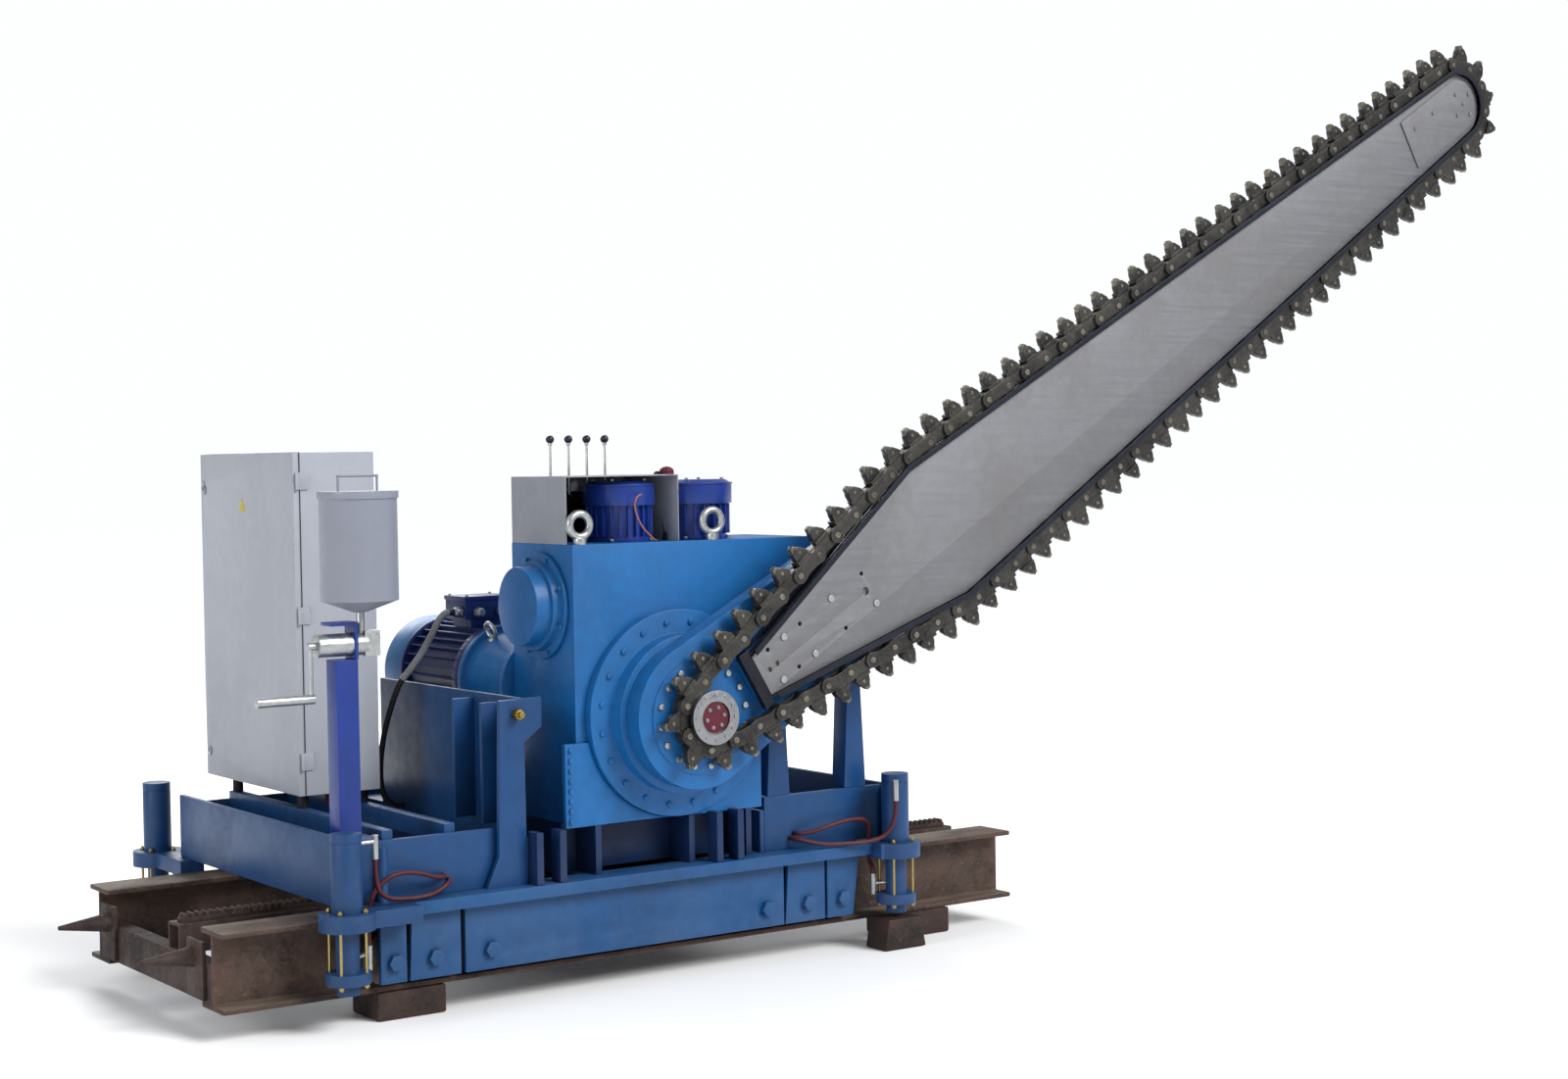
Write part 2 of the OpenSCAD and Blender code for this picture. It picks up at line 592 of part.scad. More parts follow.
module motor_cowl() color("#3b8fd0") difference() {
    rod_y(motor_back + weld_gap, motor_back + cowl_len, motor_r, motor_x, motor_z);
    rod_y(motor_back - cut, motor_back + cowl_len - 5, motor_r - 5, motor_x, motor_z);
    for (ring_at = [50, 85, 120, 155], i = [0:11]) let (a = i * 30 + ring_at)
        rod_y(motor_back + cowl_len - 10, motor_back + cowl_len + cut, 11, motor_x + ring_at * cos(a),
            motor_z + ring_at * sin(a));
}
gland_z = 1272;
module terminal_box() color("#28408f") {
    box(motor_x - 97, motor_x + 97, box_y - 80, box_y + 80, motor_z + 212, motor_z + 282);
    box(motor_x - 101, motor_x + 101, box_y - 84, box_y + 84, motor_z + 282 + weld_gap, motor_z + 298);
    rod_x(-352, motor_x - 97 - weld_gap, 16, 250, gland_z);
    for (x = [-268, -172]) rod_y(box_y - 104, box_y - 80 - weld_gap, 17, x, gland_z);
}

// ---------- pumps, console and levers ----------
module pump_motors() color("#2a55b5") for (m = pump_motors_at) translate([m[0], pump_motor_y, 0]) {
    translate([0, 0, gearbox_z1 + weld_gap]) cylinder(h = 14, r = m[1] - 18);
    translate([0, 0, gearbox_z1 + 14]) cylinder(h = 120, r = m[1] - 22);
    for (i = [0:23]) rotate(i * 15) translate([m[1] - 30, -2.5, gearbox_z1 + 20]) cube([22, 5, 108]);
    translate([0, 0, gearbox_z1 + 130]) cylinder(h = 72, r = m[1]);
    translate([0, 0, gearbox_z1 + 202]) cylinder(h = 14, r1 = m[1], r2 = m[1] - 24);
}
module console_hood() color("#c9c9c6") difference() {
    box(gearbox_x0 + 1, hood_x1, hood_y[0], hood_y[1], gearbox_z1 + weld_gap, gearbox_z1 + hood_h);
    box(gearbox_x0 + 1 + hood_t, hood_x1 - hood_t, hood_y[0] - cut, hood_y[1] - hood_t, gearbox_z1 - cut,
        gearbox_z1 + hood_h - hood_t);
    for (x = lever_xs) box(x - 8, x + 8, lever_y - 36, lever_y + 36, gearbox_z1 + 200, gearbox_z1 + hood_h + cut);
}
lever_r = 5;
lever_hub_r = 11;
lever_pin_r = 6;
module valve_block() color("#2c2c30") difference() {
    union() {
        box(lever_xs[0] - 34, lever_xs[3] + 34, lever_y + 16, hood_y[1] - hood_t - 2, gearbox_z1 + weld_gap,
            lever_pivot + 20);
        for (x = lever_xs, side = [-1, 1]) translate([x + side * 12.5 - 3, lever_y - 16, lever_pivot - 18])
            cube([6, 33, 36]);
    }
    rod_x(lever_xs[0] - 60, lever_xs[3] + 60, lever_pin_r + run_gap, lever_y, lever_pivot);
}
module lever(i) {
    color("#d8d8d6") {
        rod_x(lever_xs[i] - 9, lever_xs[i] + 9, lever_hub_r, lever_y, lever_pivot);
        rod_x(lever_xs[i] - 17, lever_xs[i] + 17, lever_pin_r, lever_y, lever_pivot);
        translate([lever_xs[i], lever_y, lever_pivot]) cylinder(h = lever_top - lever_pivot - 8, r = lever_r);
    }
    color("#15151a") translate([lever_xs[i], lever_y, lever_top]) sphere(r = 15);
}

// ---------- switch cabinet ----------
module cabinet_case() color("#c6c8c6") difference() {
    box(cabinet_x0 + door_t + 0.5, cabinet_x0 + cabinet_d, cabinet_y0, cabinet_y0 + cabinet_w, cabinet_z0,
        cabinet_z0 + cabinet_h);
    box(cabinet_x0, cabinet_x0 + cabinet_d - shell_t, cabinet_y0 + shell_t, cabinet_y0 + cabinet_w - shell_t,
        cabinet_z0 + shell_t, cabinet_z0 + cabinet_h - shell_t);
}
module cabinet_hinges() color("#b9bbb9") for (z = [90, cabinet_h / 2, cabinet_h - 130]) {
    translate([cabinet_x0 + door_t / 2, cabinet_y0 - 8, cabinet_z0 + z]) cylinder(h = 60, r = hinge_r);
    box(cabinet_x0 + door_t / 2, cabinet_x0 + door_t + 30, cabinet_y0 - 5, cabinet_y0 - weld_gap, cabinet_z0 + z,
        cabinet_z0 + z + 60);
}
module cabinet_mounts() color("#1c1c1e") for (x = cabinet_rail_xs, y = [cabinet_y0 + 60, 660])
    translate([x, y, frame_top + weld_gap]) cylinder(h = mount_h - 2 * weld_gap, r = 19);
module cabinet_shell() {
    cabinet_case();
    cabinet_hinges();
}
module cabinet_door() color("#cfd1cf") {
    difference() {
        box(cabinet_x0, cabinet_x0 + door_t, cabinet_y0 + 0.5, cabinet_y0 + cabinet_w, cabinet_z0,
            cabinet_z0 + cabinet_h);
        box(cabinet_x0 + 2, cabinet_x0 + door_t + cut, cabinet_y0 + 14, cabinet_y0 + cabinet_w - 14, cabinet_z0 + 14,
            cabinet_z0 + cabinet_h - 14);
    }
    for (z = [90, cabinet_h - 110]) rod_x(cabinet_x0 - 6, cabinet_x0 + 4, 12, cabinet_y0 + cabinet_w - 28,
        cabinet_z0 + z);
}

// ---------- grease pump ----------
module grease_post() color("#2f4fb0") {
    difference() {
        box(post_x - post_w / 2, post_x + post_w / 2, post_y - post_w / 2, post_y + post_w / 2, post_z0, post_z1);
        box(post_x - post_w / 2 + 6, post_x + post_w / 2 - 6, post_y - post_w / 2 + 6, post_y + post_w / 2 - 6,
            post_z0 - cut, post_z1 - 8);
    }
    difference() {
        box(-1131, -1119, post_y - 40, post_y + 40, post_z1 + weld_gap, post_z1 + 124);
        rod_x(-1140, -1110, pump_r + 0.1, post_y, pump_z);
    }
    box(-1215, -1131 - weld_gap, post_y - 40, post_y + 40, post_z1 + 112, post_z1 + 124);
}
module grease_pump() color("#b5b1a6") {
    difference() {
        rod_x(-1252, -1078, pump_r, post_y, pump_z);
        rod_x(-1290, -1200, 12 + run_gap, post_y, pump_z);
    }
    translate([reservoir_x, post_y, pump_z]) cylinder(h = reservoir_z - pump_z + 10, r = 14);
    box(-1090, -1036, post_y - 30, post_y + 30, pump_z - 40, pump_z + 44);
}
module grease_reservoir() color("#b9b9c4") translate([reservoir_x, post_y, reservoir_z]) {
    difference() {
        union() {
            translate([0, 0, -38]) cylinder(h = 38, r1 = 24, r2 = reservoir_r);
            cylinder(h = reservoir_h, r = reservoir_r);
            translate([0, 0, reservoir_h - 14]) cylinder(h = 24, r = reservoir_r + 5);
        }
        translate([0, 0, -60]) cylinder(h = 80, r = 14.2);
    }
    for (x = [-70, 70]) translate([x, 0, reservoir_h + 9]) cylinder(h = 53, r = 4);
    translate([-74, 0, reservoir_h + 60]) rotate([0, 90, 0]) cylinder(h = 148, r = 4);
}
module pump_crank() color("#d4d4d2") {
    rod_x(-1280, -1202, 12, post_y, pump_z);
    translate([-1271, post_y, pump_z - crank_len]) cylinder(h = crank_len, r = 7);
    rod_x(-1461, -1262, 16, post_y, pump_z - crank_len);
}

// ---------- jacks ----------
module clamp_tongues() {
    box(jack_xs[0], deck_x0 - weld_gap, -deck_y - 55, -deck_y + 35, clamp_z0, deck_z - weld_gap);
    box(-1118, deck_x0 - weld_gap, -deck_y + 34, -604, clamp_z0, deck_z - weld_gap);
    box(deck_x1 + weld_gap, jack_xs[1], -deck_y - 55, -deck_y + 35, clamp_z0, deck_z - weld_gap);
    for (x = [frame_x0 - 40, frame_x1 - 80]) box(x, x + 90, 620, jack_back, clamp_z0, deck_z - weld_gap);
    for (x = [frame_x0 - 20, frame_x1 - 90]) box(x, x + 100, -deck_y + 34, -604, clamp_z0, deck_z - weld_gap);
}
module jack_clamps() color("#2d74b4") difference() {
    union() {
        for (p = jack_places) translate([p[0], p[1], clamp_z0]) cylinder(h = clamp_h - weld_gap, r = clamp_r);
        clamp_tongues();
        translate([-1080, peg_y, deck_z - cut]) cylinder(h = 185, r = 18);
    }
    for (p = jack_places) translate([p[0], p[1], 0]) {
        translate([0, 0, clamp_z0 - cut]) cylinder(h = clamp_h + 2 * cut, r = jack_r + 0.2);
        for (a = [45:90:315]) rotate(a) translate([rod_place * sqrt(2), 0, clamp_z0 - cut])
            cylinder(h = clamp_h + 2 * cut, r = rod_r + 0.2);
    }
}
module jack_barrels() color("#2468a8") for (p = jack_places) translate([p[0], p[1], 0]) difference() {
    union() {
        translate([0, 0, clamp_z0]) cylinder(h = clamp_h + jack_top_h - 30, r = jack_r);
        translate([0, 0, deck_z + jack_top_h - 28]) cylinder(h = 28, r = jack_r);
        translate([0, 0, deck_z + jack_top_h - 32]) cylinder(h = 6, r = jack_r - 2);
        translate([0, 0, head_z0]) cylinder(h = clamp_z0 - head_z0 + cut, r = lower_r);
        translate([0, 0, head_z0]) cylinder(h = head_z1 - head_z0, r = head_r);
    }
    translate([0, 0, head_z0 - cut]) cylinder(h = 380, r = jack_rod_r + run_gap);
    for (a = [45:90:315]) rotate(a) translate([rod_place * sqrt(2), 0, head_z0 - cut])
        cylinder(h = head_z1 - head_z0 + 2 * cut, r = rod_r + 0.2);
}
module jack_tie_rods() color("#c2a95c") for (p = jack_places, a = [45:90:315])
    translate([p[0], p[1], 0]) rotate(a) translate([rod_place * sqrt(2), 0, 0]) {
        translate([0, 0, head_z0 - 14]) cylinder(h = deck_z - head_z0 + 28, r = rod_r);
        translate([0, 0, head_z0 - 10]) cylinder(h = 10 - weld_gap, r = 9, $fn = 6);
        translate([0, 0, deck_z]) cylinder(h = 9, r = 9, $fn = 6);
    }
upper_valves = [[-1142, -700], [940, -764]];
lower_valves = [[-1142, -640], [900, -672]];
module valve_stub(jack, valve, r0, z) {
    run = valve - jack;
    translate([jack[0], jack[1], z]) rotate([0, 90, atan2(run[1], run[0])]) translate([0, 0, r0])
        cylinder(h = norm(run) - r0, r = 7);
}
module jack_valves() color("#c9cbcd") for (i = [0, 1]) {
    translate([upper_valves[i][0], upper_valves[i][1], 555]) cylinder(h = 78, r = 11);
    valve_stub(jack_places[i], upper_valves[i], jack_r + 0.2, 612);
    translate([lower_valves[i][0], lower_valves[i][1], i == 0 ? 185 : 200]) cylinder(h = i == 0 ? 80 : 77, r = 11);
    valve_stub(jack_places[i], lower_valves[i], lower_r + 0.2, 240);
}
module jack_rod(i) color("#2b6cab") translate([jack_places[i][0], jack_places[i][1], foot_z]) {
    cylinder(h = head_z0 - foot_z - 0.5, r = foot_r);
    cylinder(h = 350, r = jack_rod_r);
}

// ---------- moving carriage parts ----------
module wheels(x) color("#55504c") both_sides() difference() {
    union() {
        rod_y(wheel_y - wheel_w / 2, wheel_y + wheel_w / 2, wheel_r, x, wheel_z);
        rod_y(wheel_y - wheel_w / 2 - 4, wheel_y + wheel_w / 2 + 1, 44, x, wheel_z);
    }
    rod_y(wheel_y - wheel_w, wheel_y + wheel_w, axle_r + run_gap, x, wheel_z);
}
module rack_pinion() color("#6a6a6c") translate([pinion_x, 0, pinion_z]) {
    along_y(rack_y - rack_w / 2 + 2, rack_y + rack_w / 2 - 2) rotate(-90) gear_outline(rack_module, pinion_teeth);
    translate([0, rack_y + 80, 0]) rotate([90, 0, 0]) cylinder(h = 160, r = pinion_shaft_r);
}
module motor_rotor() color("#8f9194") {
    rod_y(gear_front + 2, motor_back + cowl_len - 30, motor_shaft_r, motor_x, motor_z);
    translate([motor_x, 0, motor_z]) along_y(gear_front + 4, gear_back - 4)
        rotate(gear_turn + 180) gear_outline(gear_module, input_count);
    rod_y(-60, -20, 92, motor_x, motor_z);
    difference() {
        rod_y(motor_back + 40, motor_back + 84, 70, motor_x, motor_z);
        rod_y(motor_back + 60, motor_back + 90, 58, motor_x, motor_z);
    }
    for (i = [0:7]) translate([motor_x, 0, motor_z]) rotate([0, i * 45, 0])
        box(66, fan_r, motor_back + 40, motor_back + 84, -4, 4);
}
module slewing_worm() color("#8a8a88") translate([0, worm_y, worm_z]) rotate([0, 90, 0]) rotate_extrude()
    polygon(concat([[0, gearbox_x0 - 55], [25, gearbox_x0 - 55], [25, -150], [worm_r - 14, -150]],
        [for (i = [0:11]) let (x = -150 + i * 36) each [[worm_r - 14, x + 8], [worm_r, x + 14], [worm_r, x + 22],
            [worm_r - 14, x + 28]]],
        [[worm_r - 14, 290], [25, 290], [25, 310], [0, 310]]));
module drive_shaft() color("#7d7f82") {
    rod_y(hub_face + 12, gear_front, shaft_r, hub_x, hub_z);
    rod_y(gear_back, gearbox_y1 - 2, 40, hub_x, hub_z);
    translate([hub_x, 0, hub_z]) along_y(gear_front, gear_back)
        rotate(gear_turn + 180 / gear_count) gear_outline(gear_module, gear_count);
}
module sprocket() color("#b9bdc2") difference() {
    under_links = sqrt(pow(sprocket_r, 2) - pow(link_pitch / 2, 2)) - link_inner;
    union() {
        rod_y(hub_face, chain_y - link_w / 2 - 2, 95, hub_x, hub_z);
        rod_y(hub_face + 4, chain_y + link_w / 2, under_links - 6, hub_x, hub_z);
        for (i = [0:6]) translate([hub_x, 0, hub_z]) rotate([0, i * 360 / 7, 0])
            box(30, sqrt(pow(under_links - 2, 2) - pow(18, 2)), chain_y - 12, chain_y + 12, -18, 18);
    }
    rod_y(hub_face - cut, chain_y + link_w, shaft_r + 0.1, hub_x, hub_z);
}

// ---------- arm ----------
module slewing_sleeve() color("#7b7d80") on_arm() difference() {
    union() {
        rod_y(holder_back + weld_gap, wheel_back, sleeve_r, 0, 0);
        rod_y(wheel_front, wheel_back, worm_wheel_r, 0, 0);
    }
    rod_y(holder_back - cut, wheel_back + cut, shaft_r + run_gap, 0, 0);
}

holder_slope = 3;
module holder_outline() {
    circle(r = holder_r);
    polygon([polar(holder_r, 90 - holder_slope), [holder_end, 210], [holder_end + 60, 150], [holder_end + 60, -150],
        [holder_end, -210], polar(holder_r, -90 + holder_slope)]);
}
module arm_holder() color("#2a6fb3") on_arm() difference() {
    union() {
        along_y(holder_front, holder_back) holder_outline();
        along_y(holder_front - cover_t, holder_front + cut) circle(r = cover_r);
        along_y(bar_back + weld_gap, holder_front + cut)
            polygon([[cover_r + 4, -88], [holder_end, -150], [holder_end, 150], [cover_r + 4, 88]]);
    }
    rod_y(bar_front - 50, holder_back + cut, shaft_r + run_gap, 0, 0);
}

edge_slope = asin((wide_half - nose_r) / (nose_at - wide_at));
guide_t = 10;
// Outline of the bar, grown outwards by d along its edges and round its nose
function bar_points(d, root = root_at) = concat([[root, -root_half - d], [wide_at, -wide_half - d]],
    [for (i = [0:24]) [nose_at, 0] + polar(nose_r + d, -90 + edge_slope + i * (180 - 2 * edge_slope) / 24)],
    [[wide_at, wide_half + d], [root, root_half + d]]);
module bar() color("#b4b6b9") on_arm() difference() {
    along_y(bar_front, bar_back) polygon(bar_points(0));
    for (x = bolt_rows, side = [-1, 1]) rod_y(bar_front - cut, bar_back + cut, 8.2, x, side * row_half);
    for (x = [290, 328, 789]) rod_y(bar_front - cut, bar_front + 12, x == 789 ? 16 : 10, x, 0);
    box(290, 789, bar_front - cut, bar_front + 3, -5, 5);
}
// Rail for the chain all round the bar's edge
module chain_guides() color("#55504b") on_arm() along_y(chain_y - guide_t / 2, chain_y + guide_t / 2) difference() {
    polygon(bar_points(guide_out));
    polygon(bar_points(weld_gap, root_at - cut));
}
nose_plate_half = 110;
module nose_plate() color("#c2c4c6") on_arm() {
    along_y(bar_front - 6, bar_front - weld_gap) {
        translate([nose_at, 0]) circle(r = nose_plate_half);
        translate([nose_at - 375, -nose_plate_half]) square([375, 2 * nose_plate_half]);
    }
    along_y(bar_front - 11, bar_front - 6 - weld_gap) for (p = [[-307, 45], [-169, 49], [5, 51], [83, 13], [31, -8],
        [-29, -34], [47, -68]]) translate([nose_at + p[0], p[1]]) circle(r = 9);
}
module arm_bolts() on_arm() {
    color("#d4d6d8") for (i = [0:cover_bolts - 1]) let (a = i * 360 / cover_bolts)
        rod_y(holder_front - cover_t - 10, holder_front - cover_t - weld_gap, 11, cover_bolt_r * cos(a),
            cover_bolt_r * sin(a));
    color("#d4d6d8") for (i = [0:len(bolt_rows) - 1], side = [-1, 1]) if ((i + (side + 1) / 2) % 2 == 0) {
        rod_y(bar_front, bar_back, 8, bolt_rows[i], side * row_half);
        rod_y(bar_front - 5, bar_front - weld_gap, 13, bolt_rows[i], side * row_half);
    }
    // Dark clamp and tensioner block between the sprocket and the root of the bar
    color("#2b2d33") box(206, root_at - weld_gap, bar_front + 2, bar_back, -112, 112);
}

// Chain path: sprocket arc, straight run to the widest place, straight run to the nose, nose arc, and back.
pitch_wide = [wide_at, wide_half + edge_off];
nose_pitch_r = nose_r + edge_off;
lean_1 = atan2(pitch_wide[1], pitch_wide[0]) - asin(sprocket_r / norm(pitch_wide));
lean_2 = -edge_slope;
start_pt = polar(sprocket_r, 90 + lean_1);
nose_pt = [nose_at, 0] + polar(nose_pitch_r, 90 + lean_2);
len_a = (90 - lean_1) * PI / 180 * sprocket_r;
len_b = norm(pitch_wide - start_pt);
len_c = norm(nose_pt - pitch_wide);
len_d = (90 + lean_2) * PI / 180 * nose_pitch_r;
half_loop = len_a + len_b + len_c + len_d;
link_pitch = 2 * half_loop / link_count;
// Place and heading on the upper half of the loop, at distance s from the back of the sprocket.
function upper(s) =
    s < len_a ? let (a = 180 - s / sprocket_r * 180 / PI) [polar(sprocket_r, a), a - 90] :
    s < len_a + len_b ? [start_pt + (s - len_a) / len_b * (pitch_wide - start_pt), lean_1] :
    s < len_a + len_b + len_c ? [pitch_wide + (s - len_a - len_b) / len_c * (nose_pt - pitch_wide), lean_2] :
    let (a = 90 + lean_2 - (s - len_a - len_b - len_c) / nose_pitch_r * 180 / PI)
        [[nose_at, 0] + polar(nose_pitch_r, a), a - 90];
function on_loop(s) = s <= half_loop ? upper(s) :
    let (u = upper(2 * half_loop - s)) [[u[0][0], -u[0][1]], 180 - u[1]];
// Puts its children midway between the pins at both ends of link k, along the link; $run is the pins' spacing.
module at_link(k) {
    a = on_loop(k * link_pitch)[0];
    b = on_loop((k + 1) * link_pitch)[0];
    $run = norm(b - a);
    translate([(a[0] + b[0]) / 2, 0, (a[1] + b[1]) / 2]) rotate([0, -atan2(b[1] - a[1], b[0] - a[0]), 0]) children();
}
block_w = link_w - 22;
seat_z = link_end_r + 12;
module link_shape(run) {
    translate([-run / 2, -link_inner]) square([run, link_inner + link_end_r]);
    for (side = [-1, 1]) translate([side * run / 2, 0]) circle(r = link_end_r);
}
module inner_block() difference() {
    union() {
        along_y(chain_y - block_w / 2, chain_y + block_w / 2) link_shape($run);
        box(-34, 34, chain_y - block_w / 2, chain_y + block_w / 2, 0, seat_z);
    }
    for (side = [-1, 1]) rod_y(chain_y - link_w, chain_y + link_w, pin_r + 0.1, side * $run / 2, 0);
}
module side_link() {
    for (y = [chain_y - link_w / 2, chain_y + block_w / 2 + weld_gap])
        along_y(y, y + (link_w - block_w) / 2 - weld_gap) link_shape($run);
    for (side = [-1, 1]) rod_y(chain_y - link_w / 2, chain_y + link_w / 2, pin_r, side * $run / 2, 0);
    box(-30, 30, chain_y - link_w / 2, chain_y + link_w / 2, link_end_r - 2, seat_z);
}
module chain_links() color("#4a4742") on_arm() for (k = [0:link_count - 1]) at_link(k)
    if (k % 2 == 0) inner_block(); else side_link();
pick_shift = [-8, 0, 8];
module chain_picks() color("#8d8a84") on_arm() for (k = [0:link_count - 1]) at_link(k)
    translate([0, chain_y + pick_shift[k % 3], seat_z + weld_gap]) along_y(-17, 17)
        polygon([[-30, 0], [34, 0], [30, 14], [12, 38], [-6, 54], [-20, 50], [-27, 24]]);

module motor_cable() color("#1c1c20") tube(cable_path, cable_r);
module jack_hoses() color("#4a1422") for (path = hose_paths) tube(path, hose_r);

rails();
cross_ties();
rack_beam();
packing_blocks();
coupling_cones();
base_frame();
deck_plates();
skirts();
skirt_bolts();
gearbox_pedestal();
gearbox_housing();
front_plate();
slewing_ring();
side_cover();
lifting_eyes();
support_plate();
brass_plug();
motor_bell();
motor_body();
motor_cowl();
terminal_box();
pump_motors();
console_hood();
valve_block();
cabinet_shell();
cabinet_mounts();
grease_post();
grease_pump();
grease_reservoir();
jack_clamps();
jack_barrels();
jack_tie_rods();
jack_valves();
motor_cable();
jack_hoses();
wheels(wheel_xs[0]);  // wheels_left
wheels(wheel_xs[1]);  // wheels_right
rack_pinion();
motor_rotor();
slewing_worm();
drive_shaft();
sprocket();
slewing_sleeve();
arm_holder();
bar();
chain_guides();
nose_plate();
arm_bolts();
chain_links();
chain_picks();
jack_rod(0);  // jack_rod_front_left
jack_rod(1);  // jack_rod_front_right
jack_rod(2);  // jack_rod_back_left
jack_rod(3);  // jack_rod_back_right
cabinet_door();
pump_crank();
lever(0);  // lever_1
lever(1);  // lever_2
lever(2);  // lever_3
lever(3);  // lever_4
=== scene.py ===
# %% [markdown]
# A quarry chain saw on rails, finished for the camera. The designed model comes in as a fixed frame, in
# metres, with +X along the rails and +Z up. Everything below dresses that frame: it adds finishes, small
# fittings and hoses, and it never moves a designed part.

import json
import math
import bmesh
import bpy
from mathutils import Matrix, Vector


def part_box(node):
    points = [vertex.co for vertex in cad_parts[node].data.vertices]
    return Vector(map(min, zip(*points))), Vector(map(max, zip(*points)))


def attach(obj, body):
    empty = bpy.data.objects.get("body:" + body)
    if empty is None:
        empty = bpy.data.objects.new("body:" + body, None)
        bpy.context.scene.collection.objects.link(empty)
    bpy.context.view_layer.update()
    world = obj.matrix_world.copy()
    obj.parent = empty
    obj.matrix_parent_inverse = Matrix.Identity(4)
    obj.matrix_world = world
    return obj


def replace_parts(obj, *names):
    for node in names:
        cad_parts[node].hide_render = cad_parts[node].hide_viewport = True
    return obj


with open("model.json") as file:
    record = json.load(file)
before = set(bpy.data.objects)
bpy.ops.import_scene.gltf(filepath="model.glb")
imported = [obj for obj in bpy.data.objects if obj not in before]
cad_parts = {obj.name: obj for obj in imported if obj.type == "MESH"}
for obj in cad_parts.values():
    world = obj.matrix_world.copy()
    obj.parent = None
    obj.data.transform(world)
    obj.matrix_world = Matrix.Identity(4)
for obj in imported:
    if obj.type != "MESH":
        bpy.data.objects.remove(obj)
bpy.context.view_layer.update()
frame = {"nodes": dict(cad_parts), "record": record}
record = frame["record"]
slot_of = {row["node"]: row["material_slot"] for row in record["subparts"]}
body_of = {node: body for body, nodes in record["behaviour"]["bodies"].items() for node in nodes}

# %% [markdown]
# The camera stands low at the left front corner of the machine, some nine metres away. Its aim is written
# as a heading, a small downward tilt and a slight roll, because that is how a photographer would describe
# it.

# %% Camera
FRAME_WIDTH = 1600
FOCAL_PX = 2483.65
SENSOR = 36.0
CAMERA_AT = Vector((-4.577, -7.862, 1.832))
HEADING, TILT, ROLL = (math.radians(a) for a in (35.31, -1.93, -0.87))

forward = Vector((math.sin(HEADING) * math.cos(TILT), math.cos(HEADING) * math.cos(TILT), math.sin(TILT)))
level = Vector((math.cos(HEADING), -math.sin(HEADING), 0))
upright = level.cross(forward)
right = level * math.cos(ROLL) + upright * math.sin(ROLL)
up = upright * math.cos(ROLL) - level * math.sin(ROLL)
camera_data = bpy.data.cameras.new("camera")
camera_data.lens = FOCAL_PX * SENSOR / FRAME_WIDTH
camera_data.sensor_width = SENSOR
camera = bpy.data.objects.new("camera", camera_data)
bpy.context.scene.collection.objects.link(camera)
camera.matrix_world = Matrix.Translation(CAMERA_AT) @ Matrix((right, up, -forward)).transposed().to_4x4()
bpy.context.scene.camera = camera
print("lens", round(camera_data.lens, 2), "mm")

# %% [markdown]
# Cords come next, because their routes were settled with the design. Each is one smooth curve through the
# route's points, with a round bevel for its thickness. A motor cable is stiff and satin black, and the jack
# hoses are dark red.

# %% Cable and hoses
CABLE_POINTS = [(-.3524, .250, 1.272), (-.368, .250, 1.272), (-.384, .250, 1.270), (-.410, .248, 1.246),
    (-.440, .242, 1.200), (-.490, .234, 1.130), (-.540, .226, 1.076), (-.580, .222, 1.036), (-.606, .224, .985),
    (-.624, .236, .920), (-.636, .254, .850), (-.642, .270, .780), (-.644, .280, .710), (-.640, .284, .650),
    (-.630, .280, .610), (-.612, .274, .586), (-.590, .272, .574), (-.575, .271, .571), (-.5608, .271, .571)]
HOSE_POINTS = {
    "hose_left_upper": [(-1.142, -.700, .5548), (-1.142, -.700, .525), (-1.137, -.698, .480),
        (-1.122, -.694, .442), (-1.080, -.688, .417), (-1.010, -.680, .409), (-.940, -.670, .409),
        (-.890, -.654, .418), (-.852, -.638, .434), (-.834, -.620, .441), (-.832, -.6004, .441)],
    "hose_left_lower": [(-1.142, -.640, .2652), (-1.142, -.640, .290), (-1.142, -.640, .340),
        (-1.134, -.642, .400), (-1.112, -.646, .448), (-1.066, -.652, .482), (-1.010, -.654, .490),
        (-.950, -.652, .480), (-.905, -.646, .464), (-.872, -.634, .458), (-.852, -.618, .458),
        (-.850, -.6004, .458)],
    "hose_right_upper": [(.940, -.764, .5548), (.940, -.764, .532), (.935, -.762, .492), (.918, -.756, .450),
        (.880, -.744, .420), (.820, -.728, .409), (.740, -.708, .409), (.670, -.688, .412), (.620, -.664, .422),
        (.586, -.642, .432), (.571, -.620, .435), (.570, -.6004, .435)],
    "hose_right_lower": [(.900, -.672, .2772), (.900, -.670, .296), (.901, -.650, .322), (.901, -.642, .350),
        (.902, -.644, .405), (.896, -.652, .450), (.866, -.664, .480), (.806, -.672, .488), (.740, -.672, .482),
        (.680, -.664, .468), (.636, -.648, .456), (.604, -.634, .452), (.591, -.618, .452), (.590, -.6004, .452)]}


def smooth_path(points, steps=6):
    """Points on a smooth curve through the given ones."""
    p = [Vector(q) for q in points]
    out = []
    for i in range(len(p) - 1):
        a, b, c, d = p[max(i - 1, 0)], p[i], p[i + 1], p[min(i + 2, len(p) - 1)]
        for k in range(steps):
            t = k / steps
            out.append(0.5 * (2 * b + (c - a) * t + (2 * a - 5 * b + 4 * c - d) * t * t
                              + (3 * b - a - 3 * c + d) * t * t * t))
    return out + [p[-1]]


def path_length(path):
    return sum((b - a).length for a, b in zip(path, path[1:]))


